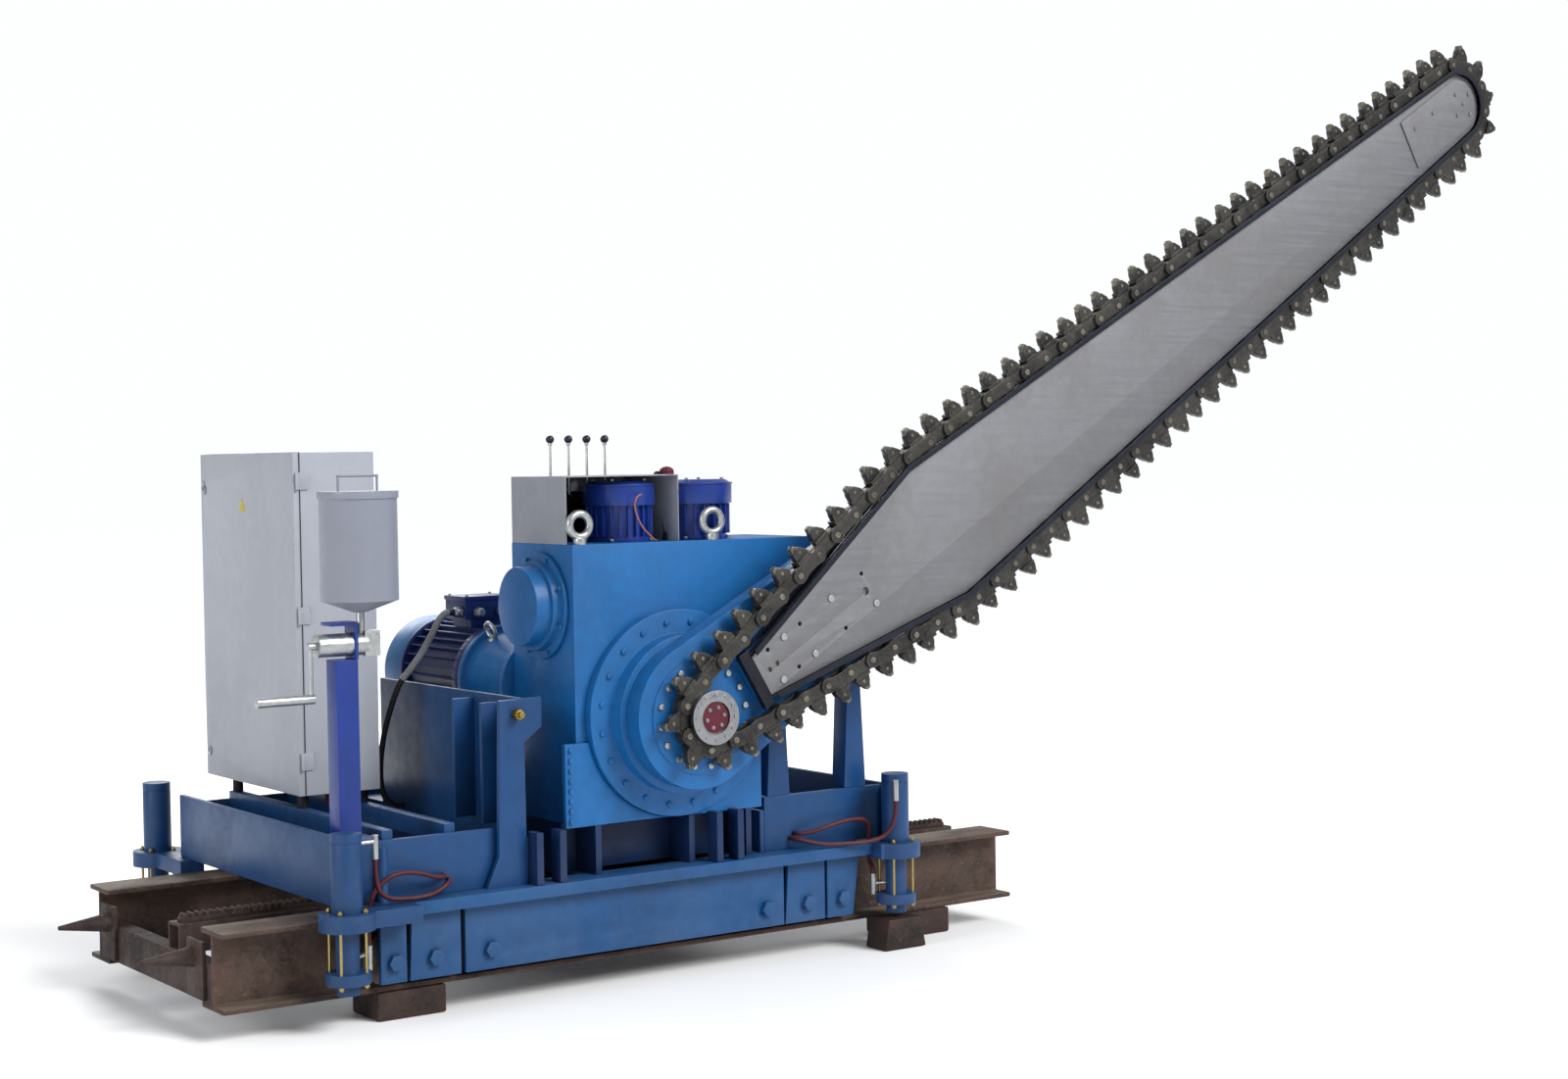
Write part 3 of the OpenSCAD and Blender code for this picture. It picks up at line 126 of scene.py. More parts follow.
def hose(name, points, radius, body, replaced=None):
    """A round hose along the points, as one curve that rides on the body."""
    path = smooth_path(points)
    curve = bpy.data.curves.new(name, "CURVE")
    curve.dimensions = "3D"
    curve.bevel_depth, curve.bevel_resolution, curve.use_fill_caps = radius, 5, True
    spline = curve.splines.new("POLY")
    spline.points.add(len(path) - 1)
    for point, place in zip(spline.points, path):
        point.co = (*place, 1)
    piece = bpy.data.objects.new(name, curve)
    bpy.context.scene.collection.objects.link(piece)
    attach(piece, body)
    if replaced:
        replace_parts(piece, replaced)
    return piece


cable = hose("cable", CABLE_POINTS, 0.011, "carriage", "motor_cable")
hoses = [hose(name, points, 0.008, "carriage", "jack_hoses") for name, points in HOSE_POINTS.items()]
print("cable", round(path_length(smooth_path(CABLE_POINTS)), 3), "m, hoses",
      [round(path_length(smooth_path(points)), 3) for points in HOSE_POINTS.values()])

# %% [markdown]
# A shader is a graph of nodes, and a graph is easier to read when each line makes one node with its inputs.
# The helper below does that: it takes a node's settings as keywords and its inputs as a dictionary, where a
# value is set and a socket is linked.

# %% Small helpers for shader graphs
def shader_node(tree, kind, inputs=None, **settings):
    made = tree.nodes.new(kind)
    for key, value in settings.items():
        setattr(made, key, value)
    for key, value in (inputs or {}).items():
        if isinstance(value, bpy.types.NodeSocket):
            tree.links.new(value, made.inputs[key])
        else:
            made.inputs[key].default_value = value
    return made


def math_node(tree, operation, a, b=0.0, clamp=False):
    return shader_node(tree, "ShaderNodeMath", {0: a, 1: b}, operation=operation, use_clamp=clamp).outputs[0]


def remap(tree, value, low, high, to_low=0.0, to_high=1.0):
    return shader_node(tree, "ShaderNodeMapRange", {"Value": value, "From Min": low, "From Max": high,
                       "To Min": to_low, "To Max": to_high}, interpolation_type="SMOOTHSTEP").outputs[0]


def noise(tree, scale, detail=5.0, rough=0.55, stretch=None):
    """Noise in the object's own coordinates, so that it stays on the piece when the piece moves."""
    place = shader_node(tree, "ShaderNodeTexCoord").outputs["Object"]
    if stretch:
        place = shader_node(tree, "ShaderNodeVectorMath", {0: place, 1: stretch},
                            operation="MULTIPLY").outputs[0]
    return shader_node(tree, "ShaderNodeTexNoise", {"Vector": place, "Scale": scale, "Detail": detail,
                       "Roughness": rough}).outputs["Fac"]


def mixed(tree, factor, first, second):
    made = shader_node(tree, "ShaderNodeMix", data_type="RGBA")
    for socket, value in ((made.inputs[0], factor), (made.inputs[6], first), (made.inputs[7], second)):
        if isinstance(value, bpy.types.NodeSocket):
            tree.links.new(value, socket)
        else:
            socket.default_value = value
    return made.outputs[2]


DEPTH = 0.72


def shade(code, bright=1.0):
    """A linear colour from a painter's hex code, a little deeper than the card and changed by a factor."""
    return (*[min(1.0, DEPTH * bright * (int(code[i:i + 2], 16) / 255) ** 2.2) for i in (1, 3, 5)], 1.0)


print("shade of mid blue", [round(c, 3) for c in shade("#2a6aa5")])

# %% [markdown]
# Several finishes share the same kinds of age. Paint wears at edges, dirt gathers low down and on upward
# faces, every surface is a little uneven in tone, and metal shows fine lines. Each of these is one node
# group with named inputs, so that every material can use it with its own values. A group gives only a mask
# or a value.

# %% Shared effects as node groups
def effect(name, inputs, output, build):
    """A node group with float inputs and one float output, made once."""
    tree = bpy.data.node_groups.new(name, "ShaderNodeTree")
    for label, value in inputs.items():
        tree.interface.new_socket(label, in_out="INPUT", socket_type="NodeSocketFloat").default_value = value
    tree.interface.new_socket(output, in_out="OUTPUT", socket_type="NodeSocketFloat")
    given = tree.nodes.new("NodeGroupInput")
    taken = tree.nodes.new("NodeGroupOutput")
    tree.links.new(build(tree, given.outputs), taken.inputs[output])
    return tree


def build_uneven(tree, given):
    broad = noise(tree, given["Scale"], 6.0)
    fine = noise(tree, math_node(tree, "MULTIPLY", given["Scale"], 9.0), 4.0)
    both = math_node(tree, "ADD", math_node(tree, "MULTIPLY", broad, 0.65),
                     math_node(tree, "MULTIPLY", fine, 0.35))
    return remap(tree, both, 0.35, 0.65)


def build_edge(tree, given):
    rounded = shader_node(tree, "ShaderNodeBevel", {"Radius": given["Width"]}, samples=4).outputs[0]
    flat = shader_node(tree, "ShaderNodeNewGeometry").outputs["Normal"]
    same = shader_node(tree, "ShaderNodeVectorMath", {0: rounded, 1: flat},
                       operation="DOT_PRODUCT").outputs["Value"]
    edge = remap(tree, math_node(tree, "SUBTRACT", 1.0, same), 0.002, 0.12)
    broken = remap(tree, noise(tree, given["Scale"], 6.0, 0.65), 0.42, 0.62)
    return math_node(tree, "MULTIPLY", edge, broken)


def build_settled(tree, given):
    place = shader_node(tree, "ShaderNodeTexCoord").outputs["Object"]
    height = shader_node(tree, "ShaderNodeSeparateXYZ", {0: place}).outputs["Z"]
    fade = remap(tree, height, given["Clean Height"], given["Dirty Height"])
    normal = shader_node(tree, "ShaderNodeNewGeometry").outputs["Normal"]
    facing_up = shader_node(tree, "ShaderNodeSeparateXYZ", {0: normal}).outputs["Z"]
    top = math_node(tree, "MULTIPLY", remap(tree, facing_up, 0.6, 1.0), 0.55)
    patchy = remap(tree, noise(tree, given["Scale"], 7.0, 0.7), 0.35, 0.7)
    return math_node(tree, "MULTIPLY", math_node(tree, "ADD", fade, top, clamp=True), patchy)


def build_runs(tree, given):
    lines = noise(tree, given["Scale"], 5.0, 0.6, (1.0, 1.0, 0.045))
    return remap(tree, lines, 0.52, 0.72)


def build_skin(tree, given):
    return noise(tree, given["Scale"], 3.0, 0.5)


uneven = effect("uneven_tone", {"Scale": 3.0}, "Tone", build_uneven)
edge_wear = effect("edge_wear", {"Width": 0.006, "Scale": 40.0}, "Mask", build_edge)
settled = effect("settled_dirt", {"Clean Height": 0.9, "Dirty Height": 0.0, "Scale": 6.0}, "Mask",
                 build_settled)
runs = effect("vertical_runs", {"Scale": 14.0}, "Mask", build_runs)
skin = effect("paint_skin", {"Scale": 220.0}, "Height", build_skin)
print("shared effects", [tree.name for tree in (uneven, edge_wear, settled, runs, skin)])


def place_effect(tree, group, **values):
    made = tree.nodes.new("ShaderNodeGroup")
    made.node_tree = group
    for label, value in values.items():
        made.inputs[label.replace("_", " ")].default_value = value
    return made.outputs[0]


# %% [markdown]
# Paint on a quarry machine is a tough gloss enamel that has gone satin. Its tone varies a little, its edges
# are rubbed lighter, and stone dust settles low down and on top. Fine orange peel in the bump breaks up its
# highlights. A chip shows only where an edge is worn hardest.

# %% Painted finishes
DUST = shade("#6f6d69")
BARE = shade("#3d3530")


def new_material(name):
    made = bpy.data.materials.new(name)
    made.use_nodes = True
    tree = made.node_tree
    tree.nodes.clear()
    return made, tree, tree.nodes.new("ShaderNodeBsdfPrincipled"), tree.nodes.new("ShaderNodeOutputMaterial")


def finish_material(tree, surface, output, colour, roughness, height, bump, **constants):
    normal = shader_node(tree, "ShaderNodeBump",
                         {"Height": height, "Distance": bump, "Strength": 1.0}).outputs[0]
    tree.links.new(colour, surface.inputs["Base Color"])
    tree.links.new(roughness, surface.inputs["Roughness"])
    tree.links.new(normal, surface.inputs["Normal"])
    for label, value in constants.items():
        surface.inputs[label.replace("_", " ")].default_value = value
    tree.links.new(surface.outputs[0], output.inputs["Surface"])


def enamel(name, colour, dark=0.72, light=1.3, dust=0.4, rough=0.34, coat=0.06, peel=220.0):
    """Worn paint of a colour, with its darkest and lightest tone, its dust, its gloss and its orange peel."""
    made, tree, surface, output = new_material(name)
    tone = place_effect(tree, uneven, Scale=2.2)
    worn = place_effect(tree, edge_wear, Width=0.007, Scale=30.0)
    dirt = place_effect(tree, settled, Clean_Height=0.75, Dirty_Height=0.0, Scale=5.0)
    streaks = place_effect(tree, runs, Scale=12.0)
    paint = mixed(tree, tone, shade(colour, dark), shade(colour))
    paint = mixed(tree, math_node(tree, "MULTIPLY", streaks, 0.16), paint, shade(colour, light))
    paint = mixed(tree, math_node(tree, "MULTIPLY", worn, 0.6), paint, shade(colour, light * 1.25))
    paint = mixed(tree, remap(tree, worn, 0.82, 1.0, 0.0, 0.75), paint, BARE)
    paint = mixed(tree, math_node(tree, "MULTIPLY", dirt, dust), paint, DUST)
    gloss = math_node(tree, "ADD", remap(tree, tone, 0.0, 1.0, rough + 0.12, rough),
                      math_node(tree, "MULTIPLY", dirt, 0.3))
    finish_material(tree, surface, output, paint, gloss, place_effect(tree, skin, Scale=peel), 0.0004,
                    Coat_Weight=coat, Coat_Roughness=0.2, Specular_IOR_Level=0.32)
    return made


finishes = {
    "frame_blue": enamel("frame_blue", "#1e4d82", dust=0.15),
    "deck_blue": enamel("deck_blue", "#21588f", dust=0.18),
    "gearbox_blue": enamel("gearbox_blue", "#2170b6", dust=0.08),
    "dark_blue": enamel("dark_blue", "#1b3560", dust=0.15),
    "motor_blue": enamel("motor_blue", "#27397e", dust=0.1),
    "cowl_blue": enamel("cowl_blue", "#2a86cc", dust=0.08),
    "pump_blue": enamel("pump_blue", "#203f96", dust=0.08, rough=0.25, coat=0.12),
    "post_blue": enamel("post_blue", "#223f96", dust=0.1, rough=0.28, coat=0.12),
    "cabinet_grey": enamel("cabinet_grey", "#b4b8c2", 0.93, 1.08, 0.06, 0.42, coat=0.05, peel=600.0),
    "hood_grey": enamel("hood_grey", "#9fa2aa", 0.9, 1.1, 0.1, 0.42, coat=0.05, peel=600.0),
    "reservoir_grey": enamel("reservoir_grey", "#9498a6", 0.93, 1.08, 0.06, 0.36, coat=0.1, peel=500.0),
    "valve_black": enamel("valve_black", "#202024", dust=0.06, rough=0.4),
}
print("painted finishes", len(finishes))

# %% [markdown]
# Rolled steel that lies outdoors is brown rust in several shades, flaking in patches, and the face that
# wheels and boots touch is rubbed to a smoother grey brown. The same recipe at other colours gives the oily
# chain, whose rubbed edges are brighter.

# %% Rusty and oily steel
def rusted(name, dark, middle, light, worn_top=None, metallic=0.15, rough=0.8, grain=18.0, relief=0.0015):
    made, tree, surface, output = new_material(name)
    tone = place_effect(tree, uneven, Scale=grain * 0.4)
    patches = remap(tree, noise(tree, grain * 0.22, 8.0, 0.7), 0.42, 0.6)
    worn = place_effect(tree, edge_wear, Width=0.006, Scale=grain * 2)
    colour = mixed(tree, patches, mixed(tree, tone, shade(dark), shade(middle)), shade(middle, 1.25))
    flakes = remap(tree, noise(tree, grain * 3.5, 8.0, 0.75), 0.56, 0.66)
    colour = mixed(tree, math_node(tree, "MULTIPLY", flakes, 0.6), colour, shade(light))
    colour = mixed(tree, math_node(tree, "MULTIPLY", worn, 0.7), colour, shade(light, 1.2))
    if worn_top:
        normal = shader_node(tree, "ShaderNodeNewGeometry").outputs["Normal"]
        facing_up = shader_node(tree, "ShaderNodeSeparateXYZ", {0: normal}).outputs["Z"]
        rubbed = remap(tree, noise(tree, 5.0, 6.0, 0.6, (0.25, 1.0, 1.0)), 0.3, 0.6)
        top = math_node(tree, "MULTIPLY", remap(tree, facing_up, 0.85, 0.98), rubbed)
        colour = mixed(tree, math_node(tree, "MULTIPLY", top, 0.75), colour, shade(worn_top))
    gloss = remap(tree, tone, 0.0, 1.0, rough, rough - 0.2)
    height = math_node(tree, "ADD", noise(tree, grain * 4, 8.0, 0.7),
                       math_node(tree, "MULTIPLY", patches, 0.5))
    finish_material(tree, surface, output, colour, gloss, height, relief, Metallic=metallic)
    return made


finishes.update({
    "rail_steel": rusted("rail_steel", "#2b211e", "#4d3a31", "#7a5a46", worn_top="#857a6c"),
    "rusty_steel": rusted("rusty_steel", "#231a17", "#40302a", "#6b4c3a"),
    "packing_steel": rusted("packing_steel", "#1e1614", "#382722", "#5b3c2c"),
    "guide_steel": rusted("guide_steel", "#14161d", "#232733", "#3c3f48", metallic=0.5, rough=0.55,
                          relief=0.0005),
    "chain_steel": rusted("chain_steel", "#232324", "#45433f", "#77726a", metallic=0.55, rough=0.5,
                          grain=30.0, relief=0.0006),
    "pick_steel": rusted("pick_steel", "#4a463e", "#7c776c", "#b3ac99", metallic=0.6, rough=0.45, grain=40.0,
                         relief=0.0005),
    "wheel_iron": rusted("wheel_iron", "#2c2926", "#57514b", "#8a8076", metallic=0.5, rough=0.5),
})
print("finishes so far", len(finishes))

# %% [markdown]
# Bare metals differ in how they were made. The bar is ground plate, so its fine lines run along it and
# faint oil stains sit across them. Turned shafts and plated fittings are brighter, and brass is warm. Each
# is a fully metallic surface whose roughness, rather than its colour, carries most of the detail.

# %% Bare and plated metals, rubber
def bare_metal(name, colour, rough, stretch=(60.0, 60.0, 60.0), stain="#6d6a66", stained=0.25, metallic=1.0):
    made, tree, surface, output = new_material(name)
    lines = noise(tree, 1.0, 6.0, 0.7, stretch)
    blots = place_effect(tree, uneven, Scale=2.5)
    worn = place_effect(tree, edge_wear, Width=0.004, Scale=60.0)
    tinted = mixed(tree, remap(tree, lines, 0.3, 0.7), shade(colour, 0.86), shade(colour, 1.05))
    tinted = mixed(tree, math_node(tree, "MULTIPLY", blots, stained), tinted, shade(stain))
    tinted = mixed(tree, math_node(tree, "MULTIPLY", worn, 0.4), tinted, shade(colour, 1.25))
    gloss = math_node(tree, "ADD", remap(tree, lines, 0.3, 0.7, rough - 0.06, rough + 0.08),
                      math_node(tree, "MULTIPLY", blots, 0.12))
    finish_material(tree, surface, output, tinted, gloss, lines, 0.0002, Metallic=metallic)
    return made


def rubber(name, colour, rough=0.6):
    made, tree, surface, output = new_material(name)
    tone = place_effect(tree, uneven, Scale=12.0)
    colour_out = mixed(tree, tone, shade(colour), shade(colour, 1.5))
    colour_out = mixed(tree, math_node(tree, "MULTIPLY", place_effect(tree, settled, Clean_Height=0.6,
                       Dirty_Height=0.1, Scale=20.0), 0.3), colour_out, DUST)
    finish_material(tree, surface, output, colour_out, remap(tree, tone, 0.0, 1.0, rough, rough + 0.15),
                    place_effect(tree, skin, Scale=900.0), 0.0002, IOR=1.45)
    return made


finishes.update({
    "bar_steel": bare_metal("bar_steel", "#96979c", 0.55, (3.0, 3.0, 90.0), "#84807b", 0.35, 0.75),
    "machined_steel": bare_metal("machined_steel", "#b4b6ba", 0.3),
    "zinc": bare_metal("zinc", "#cdd0d0", 0.3, stained=0.15, metallic=0.9),
    "yellow_zinc": bare_metal("yellow_zinc", "#c9b474", 0.35, stained=0.2),
    "brass": bare_metal("brass", "#bf9f45", 0.3, stained=0.3),
    "lever_chrome": bare_metal("lever_chrome", "#dcdcda", 0.2, stained=0.05),
    "black_rubber": rubber("black_rubber", "#161618"),
    "cable_black": rubber("cable_black", "#1a1a1e", 0.45),
    "hose_red": rubber("hose_red", "#4a1220", 0.5),
})
missing = sorted(set(slot_of.values()) - set(finishes))
print("finishes", len(finishes), "missing", missing)

# %% [markdown]
# The designed solids have knife-sharp edges, and nothing real does. Each solid of a node is rebuilt here as
# its own small mesh: doubled corners are merged, flat faces are joined into whole ones, and every sharp
# edge gets a narrow rounded bevel that catches the light. Working solid by solid lets a plate have a wide
# bevel although the bolt beside it can only take a narrow one.

# %% Rebuild a designed node with rounded edges
SHARP = math.radians(28)


def loose_solids(mesh):
    """The separate solids of a mesh, each as its own bmesh."""
    whole = bmesh.new()
    whole.from_mesh(mesh)
    bmesh.ops.remove_doubles(whole, verts=whole.verts, dist=1e-5)
    whole.verts.ensure_lookup_table()
    seen, solids = set(), []
    for start in whole.verts:
        if start.index in seen:
            continue
        island, queue = [], [start]
        seen.add(start.index)
        while queue:
            here = queue.pop()
            island.append(here)
            for edge in here.link_edges:
                other = edge.other_vert(here)
                if other.index not in seen:
                    seen.add(other.index)
                    queue.append(other)
        part = bmesh.new()
        copies = {v.index: part.verts.new(v.co) for v in island}
        for face in dict.fromkeys(f for v in island for f in v.link_faces):
            part.faces.new([copies[v.index] for v in face.verts])
        solids.append(part)
    whole.free()
    return solids


def round_edges(solid, width):
    bmesh.ops.recalc_face_normals(solid, faces=solid.faces)
    bmesh.ops.dissolve_limit(solid, angle_limit=math.radians(0.6), verts=solid.verts, edges=solid.edges)
    sharp = [e for e in solid.edges if len(e.link_faces) == 2 and e.calc_face_angle(0) > SHARP]
    if width and sharp:
        bmesh.ops.bevel(solid, geom=sharp, offset=width, segments=2, profile=0.6, affect="EDGES",
                        clamp_overlap=True)
    return solid


def shown_piece(name, solids, body, slot, finish=None, smooth=30):
    """One piece made of the given solids, in the row's frame, with its finish and its body."""
    joined = bmesh.new()
    for solid in solids:
        holder = bpy.data.meshes.new("holder")
        solid.to_mesh(holder)
        joined.from_mesh(holder)
        bpy.data.meshes.remove(holder)
        solid.free()
    mesh = bpy.data.meshes.new(name)
    joined.to_mesh(mesh)
    joined.free()
    for polygon in mesh.polygons:
        polygon.use_smooth = True
    mesh.set_sharp_from_angle(angle=math.radians(smooth))
    mesh.materials.append(finish or finishes[slot])
    piece = bpy.data.objects.new(name, mesh)
    bpy.context.scene.collection.objects.link(piece)
    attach(piece, body)
    return piece


USUAL_BEVEL = 0.002
BEVELS = {"rails": 0.006, "cross_ties": 0.004, "packing_blocks": 0.008, "base_frame": 0.004,
          "gearbox_housing": 0.006, "arm_holder": 0.006, "slewing_ring": 0.005, "side_cover": 0.006,
          "cabinet_shell": 0.004, "cabinet_door": 0.006, "console_hood": 0.003, "pump_motors": 0.006,
          "motor_cowl": 0.012, "jack_barrels": 0.005, "jack_clamps": 0.006, "grease_reservoir": 0.006,
          "bar": 0.002, "chain_guides": 0.001}
REMADE = {"motor_cable", "jack_hoses", "chain_links", "chain_picks"} | {f"lever_{i}" for i in range(1, 5)}
dressed = {}
for node_name, slot in slot_of.items():
    if node_name in REMADE:
        continue
    width = BEVELS.get(node_name, USUAL_BEVEL)
    solids = [round_edges(s, width) for s in loose_solids(frame["nodes"][node_name].data)]
    if node_name == "arm_bolts":
        solids.sort(key=lambda s: max(v.co.x for v in s.verts) - min(v.co.x for v in s.verts))
        shown_piece("chain_tensioner", [solids.pop()], "arm", "guide_steel")
    piece = shown_piece(node_name + "_finished", solids, body_of[node_name], slot)
    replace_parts(piece, node_name)
    dressed[node_name] = piece
for piece, slot in [(cable, "cable_black")] + [(h, "hose_red") for h in hoses]:
    piece.data.materials.append(finishes[slot])
print("rebuilt nodes", len(dressed), "faces", sum(len(p.data.polygons) for p in dressed.values()))

# %% [markdown]
# Small fittings are built from three shapes: a drum between two points, a block, and a plate with a drawn
# outline. Each returns its own small mesh with the edges already rounded, and several of them make one
# piece. A ball, a bolt head and a move by a matrix complete the set.

# %% Shapes for small fittings
def drum(start, end, radius, end_radius=None, sides=32, bevel=0.0015):
    """A round bar from one point to another, which may taper."""
    a, b = Vector(start), Vector(end)
    solid = bmesh.new()
    bmesh.ops.create_cone(solid, cap_ends=True, segments=sides, radius1=radius,
                          radius2=radius if end_radius is None else end_radius, depth=(b - a).length)
    turn = (b - a).to_track_quat("Z", "Y").to_matrix().to_4x4()
    bmesh.ops.transform(solid, matrix=Matrix.Translation((a + b) / 2) @ turn, verts=solid.verts)
    return round_edges(solid, bevel)


def block(low, high, bevel=0.0015, turn=None):
    a, b = Vector(low), Vector(high)
    solid = bmesh.new()
    bmesh.ops.create_cube(solid, size=1.0)
    bmesh.ops.scale(solid, vec=b - a, verts=solid.verts)
    if turn:
        bmesh.ops.transform(solid, matrix=turn, verts=solid.verts)
    bmesh.ops.translate(solid, vec=(a + b) / 2, verts=solid.verts)
    return round_edges(solid, bevel)


def plate(outline, low, high, place, bevel=0.0015):
    """A plate with the outline in X and Z, from low to high in Y, moved to its place by a matrix."""
    solid = bmesh.new()
    ring = [solid.verts.new((x, low, z)) for x, z in outline]
    face = solid.faces.new(ring)
    grown = bmesh.ops.extrude_face_region(solid, geom=[face])["geom"]
    bmesh.ops.translate(solid, vec=(0, high - low, 0),
                        verts=[v for v in grown if isinstance(v, bmesh.types.BMVert)])
    bmesh.ops.transform(solid, matrix=place, verts=solid.verts)
    return round_edges(solid, bevel)


def ball(centre, radius, squash=1.0):
    solid = bmesh.new()
    bmesh.ops.create_uvsphere(solid, u_segments=24, v_segments=14, radius=radius)
    bmesh.ops.scale(solid, vec=(1, 1, squash), verts=solid.verts)
    bmesh.ops.translate(solid, vec=Vector(centre), verts=solid.verts)
    return solid


def hex_bolt(at, outward, width, height=None):
    """A hexagon head on a washer, standing on a face at a point."""
    at, outward = Vector(at), Vector(outward).normalized()
    tall = height or 0.62 * width
    return [drum(at, at + outward * 0.12 * width, 0.62 * width, sides=24, bevel=0.0004),
            drum(at + outward * 0.12 * width, at + outward * tall, 0.56 * width, sides=6, bevel=0.0012)]


print("bolt head pieces", len(hex_bolt((0, 0, 0), (0, 0, 1), 0.02)))

# %% [markdown]
# The cutting chain is a loop of two kinds of link. Inner links are solid blocks with round ends, and
# outer links are pairs of side plates joined by pins with swollen heads. Each link carries a
# holder with a hard metal pick, set by turns to the left, the middle and the right so that the slot is cut
# wider than the bar. The loop's line is worked out from the same sizes as the design: round the drive
# wheel, out to the bar's widest place, along to the nose and back.

# %% Cutting chain
HUB = Vector((0.076, 0, 0.936))
ARM_ANGLE = math.radians(31.08)
CHAIN_Y, LINKS = -0.830, 94
WHEEL_R, NOSE_AT, WIDE_AT, WIDE_HALF, NOSE_R = 0.115, 4.630, 1.185, 0.264, 0.131
EDGE_OFF, LINK_R, LINK_HALF_W = 0.0445, 0.030, 0.025
arm_place = Matrix.Translation(HUB) @ Matrix.Rotation(-ARM_ANGLE, 4, "Y")
PICK_SHIFT = (-0.008, 0.0, 0.008)


def polar(radius, angle):
    return Vector((radius * math.cos(angle), radius * math.sin(angle)))


def loop_point(share):
    """A pin's place on the chain's line. The loop is 0 to 1, from the back of the wheel over the top."""
    wide = Vector((WIDE_AT, WIDE_HALF + EDGE_OFF))
    rise = math.atan2(wide.y, wide.x) - math.asin(WHEEL_R / wide.length)
    fall = -math.asin((WIDE_HALF - NOSE_R) / (NOSE_AT - WIDE_AT))
    nose = NOSE_R + EDGE_OFF
    leave, reach = polar(WHEEL_R, math.pi / 2 + rise), Vector((NOSE_AT, 0)) + polar(nose, math.pi / 2 + fall)
    runs_of = [(math.pi / 2 - rise) * WHEEL_R, (wide - leave).length, (reach - wide).length,
               (math.pi / 2 + fall) * nose]
    s = (share if share <= 0.5 else 1 - share) * 2 * sum(runs_of)
    if s < runs_of[0]:
        at = polar(WHEEL_R, math.pi - s / WHEEL_R)
    elif s < sum(runs_of[:2]):
        at = leave + (wide - leave) * ((s - runs_of[0]) / runs_of[1])
    elif s < sum(runs_of[:3]):
        at = wide + (reach - wide) * ((s - sum(runs_of[:2])) / runs_of[2])
    else:
        at = Vector((NOSE_AT, 0)) + polar(nose, math.pi / 2 + fall - (s - sum(runs_of[:3])) / nose)
    return at if share <= 0.5 else Vector((at.x, -at.y))


def link_place(k):
    """The matrix that puts a link, drawn along X, between two pins, and the pins' spacing."""
    a, b = loop_point(k / LINKS), loop_point((k + 1) / LINKS % 1.0)
    middle, along = (a + b) / 2, b - a
    turn = Matrix.Rotation(-math.atan2(along.y, along.x), 4, "Y")
    return arm_place @ Matrix.Translation((middle.x, CHAIN_Y, middle.y)) @ turn, along.length


def rounded_bar(half, radius, steps=8):
    """Outline of a link plate: two round ends, a flat back and a slightly waisted inner edge."""
    right_end = [(half + radius * math.sin(a), -radius * math.cos(a)) for a in
                 [math.pi * i / steps for i in range(steps + 1)]]
    left_end = [(-x, z) for x, z in reversed(right_end)]
    return right_end + left_end + [(-0.4 * half, -0.7 * radius), (0.4 * half, -0.7 * radius)]


def moved(solid, place):
    bmesh.ops.transform(solid, matrix=place, verts=solid.verts)
    return solid


PLATE_T, GAP = 0.0095, 0.0004
INNER_HALF_W = LINK_HALF_W - PLATE_T - 2 * GAP
inner_links, outer_links, pins, holders, picks = [], [], [], [], []
for k in range(LINKS):
    place, spacing = link_place(k)
    half, shift = spacing / 2, PICK_SHIFT[k % 3]
    outline = rounded_bar(half, LINK_R - 0.001)
    if k % 2:
        for side in (-1, 1):
            low, high = sorted((side * LINK_HALF_W, side * (LINK_HALF_W - PLATE_T)))
            outer_links.append(plate(outline, low, high, place, 0.0012))
            for end in (-half, half):
                pins.append(moved(drum((end, side * (LINK_HALF_W - 0.004), 0),
                                       (end, side * (LINK_HALF_W + 0.003), 0),
                                       0.0125, 0.0105, 20, 0.0012), place))
    else:
        inner_links.append(plate(outline, -INNER_HALF_W, INNER_HALF_W, place, 0.0015))
    foot = LINK_HALF_W - 0.0005 if k % 2 else INNER_HALF_W
    holders.append(moved(block((-0.034, -foot, LINK_R - 0.006), (0.034, foot, LINK_R + 0.012), 0.002), place))
    tower = [(-0.030, LINK_R + 0.011), (0.034, LINK_R + 0.011), (0.031, LINK_R + 0.025),
             (0.012, LINK_R + 0.049), (-0.004, LINK_R + 0.056), (-0.020, LINK_R + 0.050),
             (-0.027, LINK_R + 0.034)]
    holders.append(plate(tower, shift - 0.0155, shift + 0.0155, place, 0.002))
    bit = [(-0.024, LINK_R + 0.040), (0.002, LINK_R + 0.040), (0.004, LINK_R + 0.056),
           (-0.006, LINK_R + 0.0672), (-0.021, LINK_R + 0.062)]
    picks.append(plate(bit, shift - 0.0125, shift + 0.0125, place, 0.0012))
    picks.append(moved(drum((0.001, shift - 0.0165, LINK_R + 0.030), (0.001, shift + 0.0165, LINK_R + 0.030),
                            0.006, sides=12, bevel=0.0006), place))
links_piece = shown_piece("chain_link_bodies", inner_links + outer_links, "arm", "chain_steel")
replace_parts(links_piece, "chain_links")
shown_piece("chain_pin_heads", pins, "arm", "pick_steel")
shown_piece("chain_pick_holders", holders, "arm", "chain_steel")
pick_piece = shown_piece("chain_pick_tips", picks, "arm", "pick_steel")
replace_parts(pick_piece, "chain_picks")
print("chain", LINKS, "links, pitch", round(link_place(25)[1] * 1000, 1), "mm")

# %% [markdown]
# The chain runs between thin dark cheek plates, one on each side of the bar's edge. They hide the foot of
# the links and give the arm its dark border.

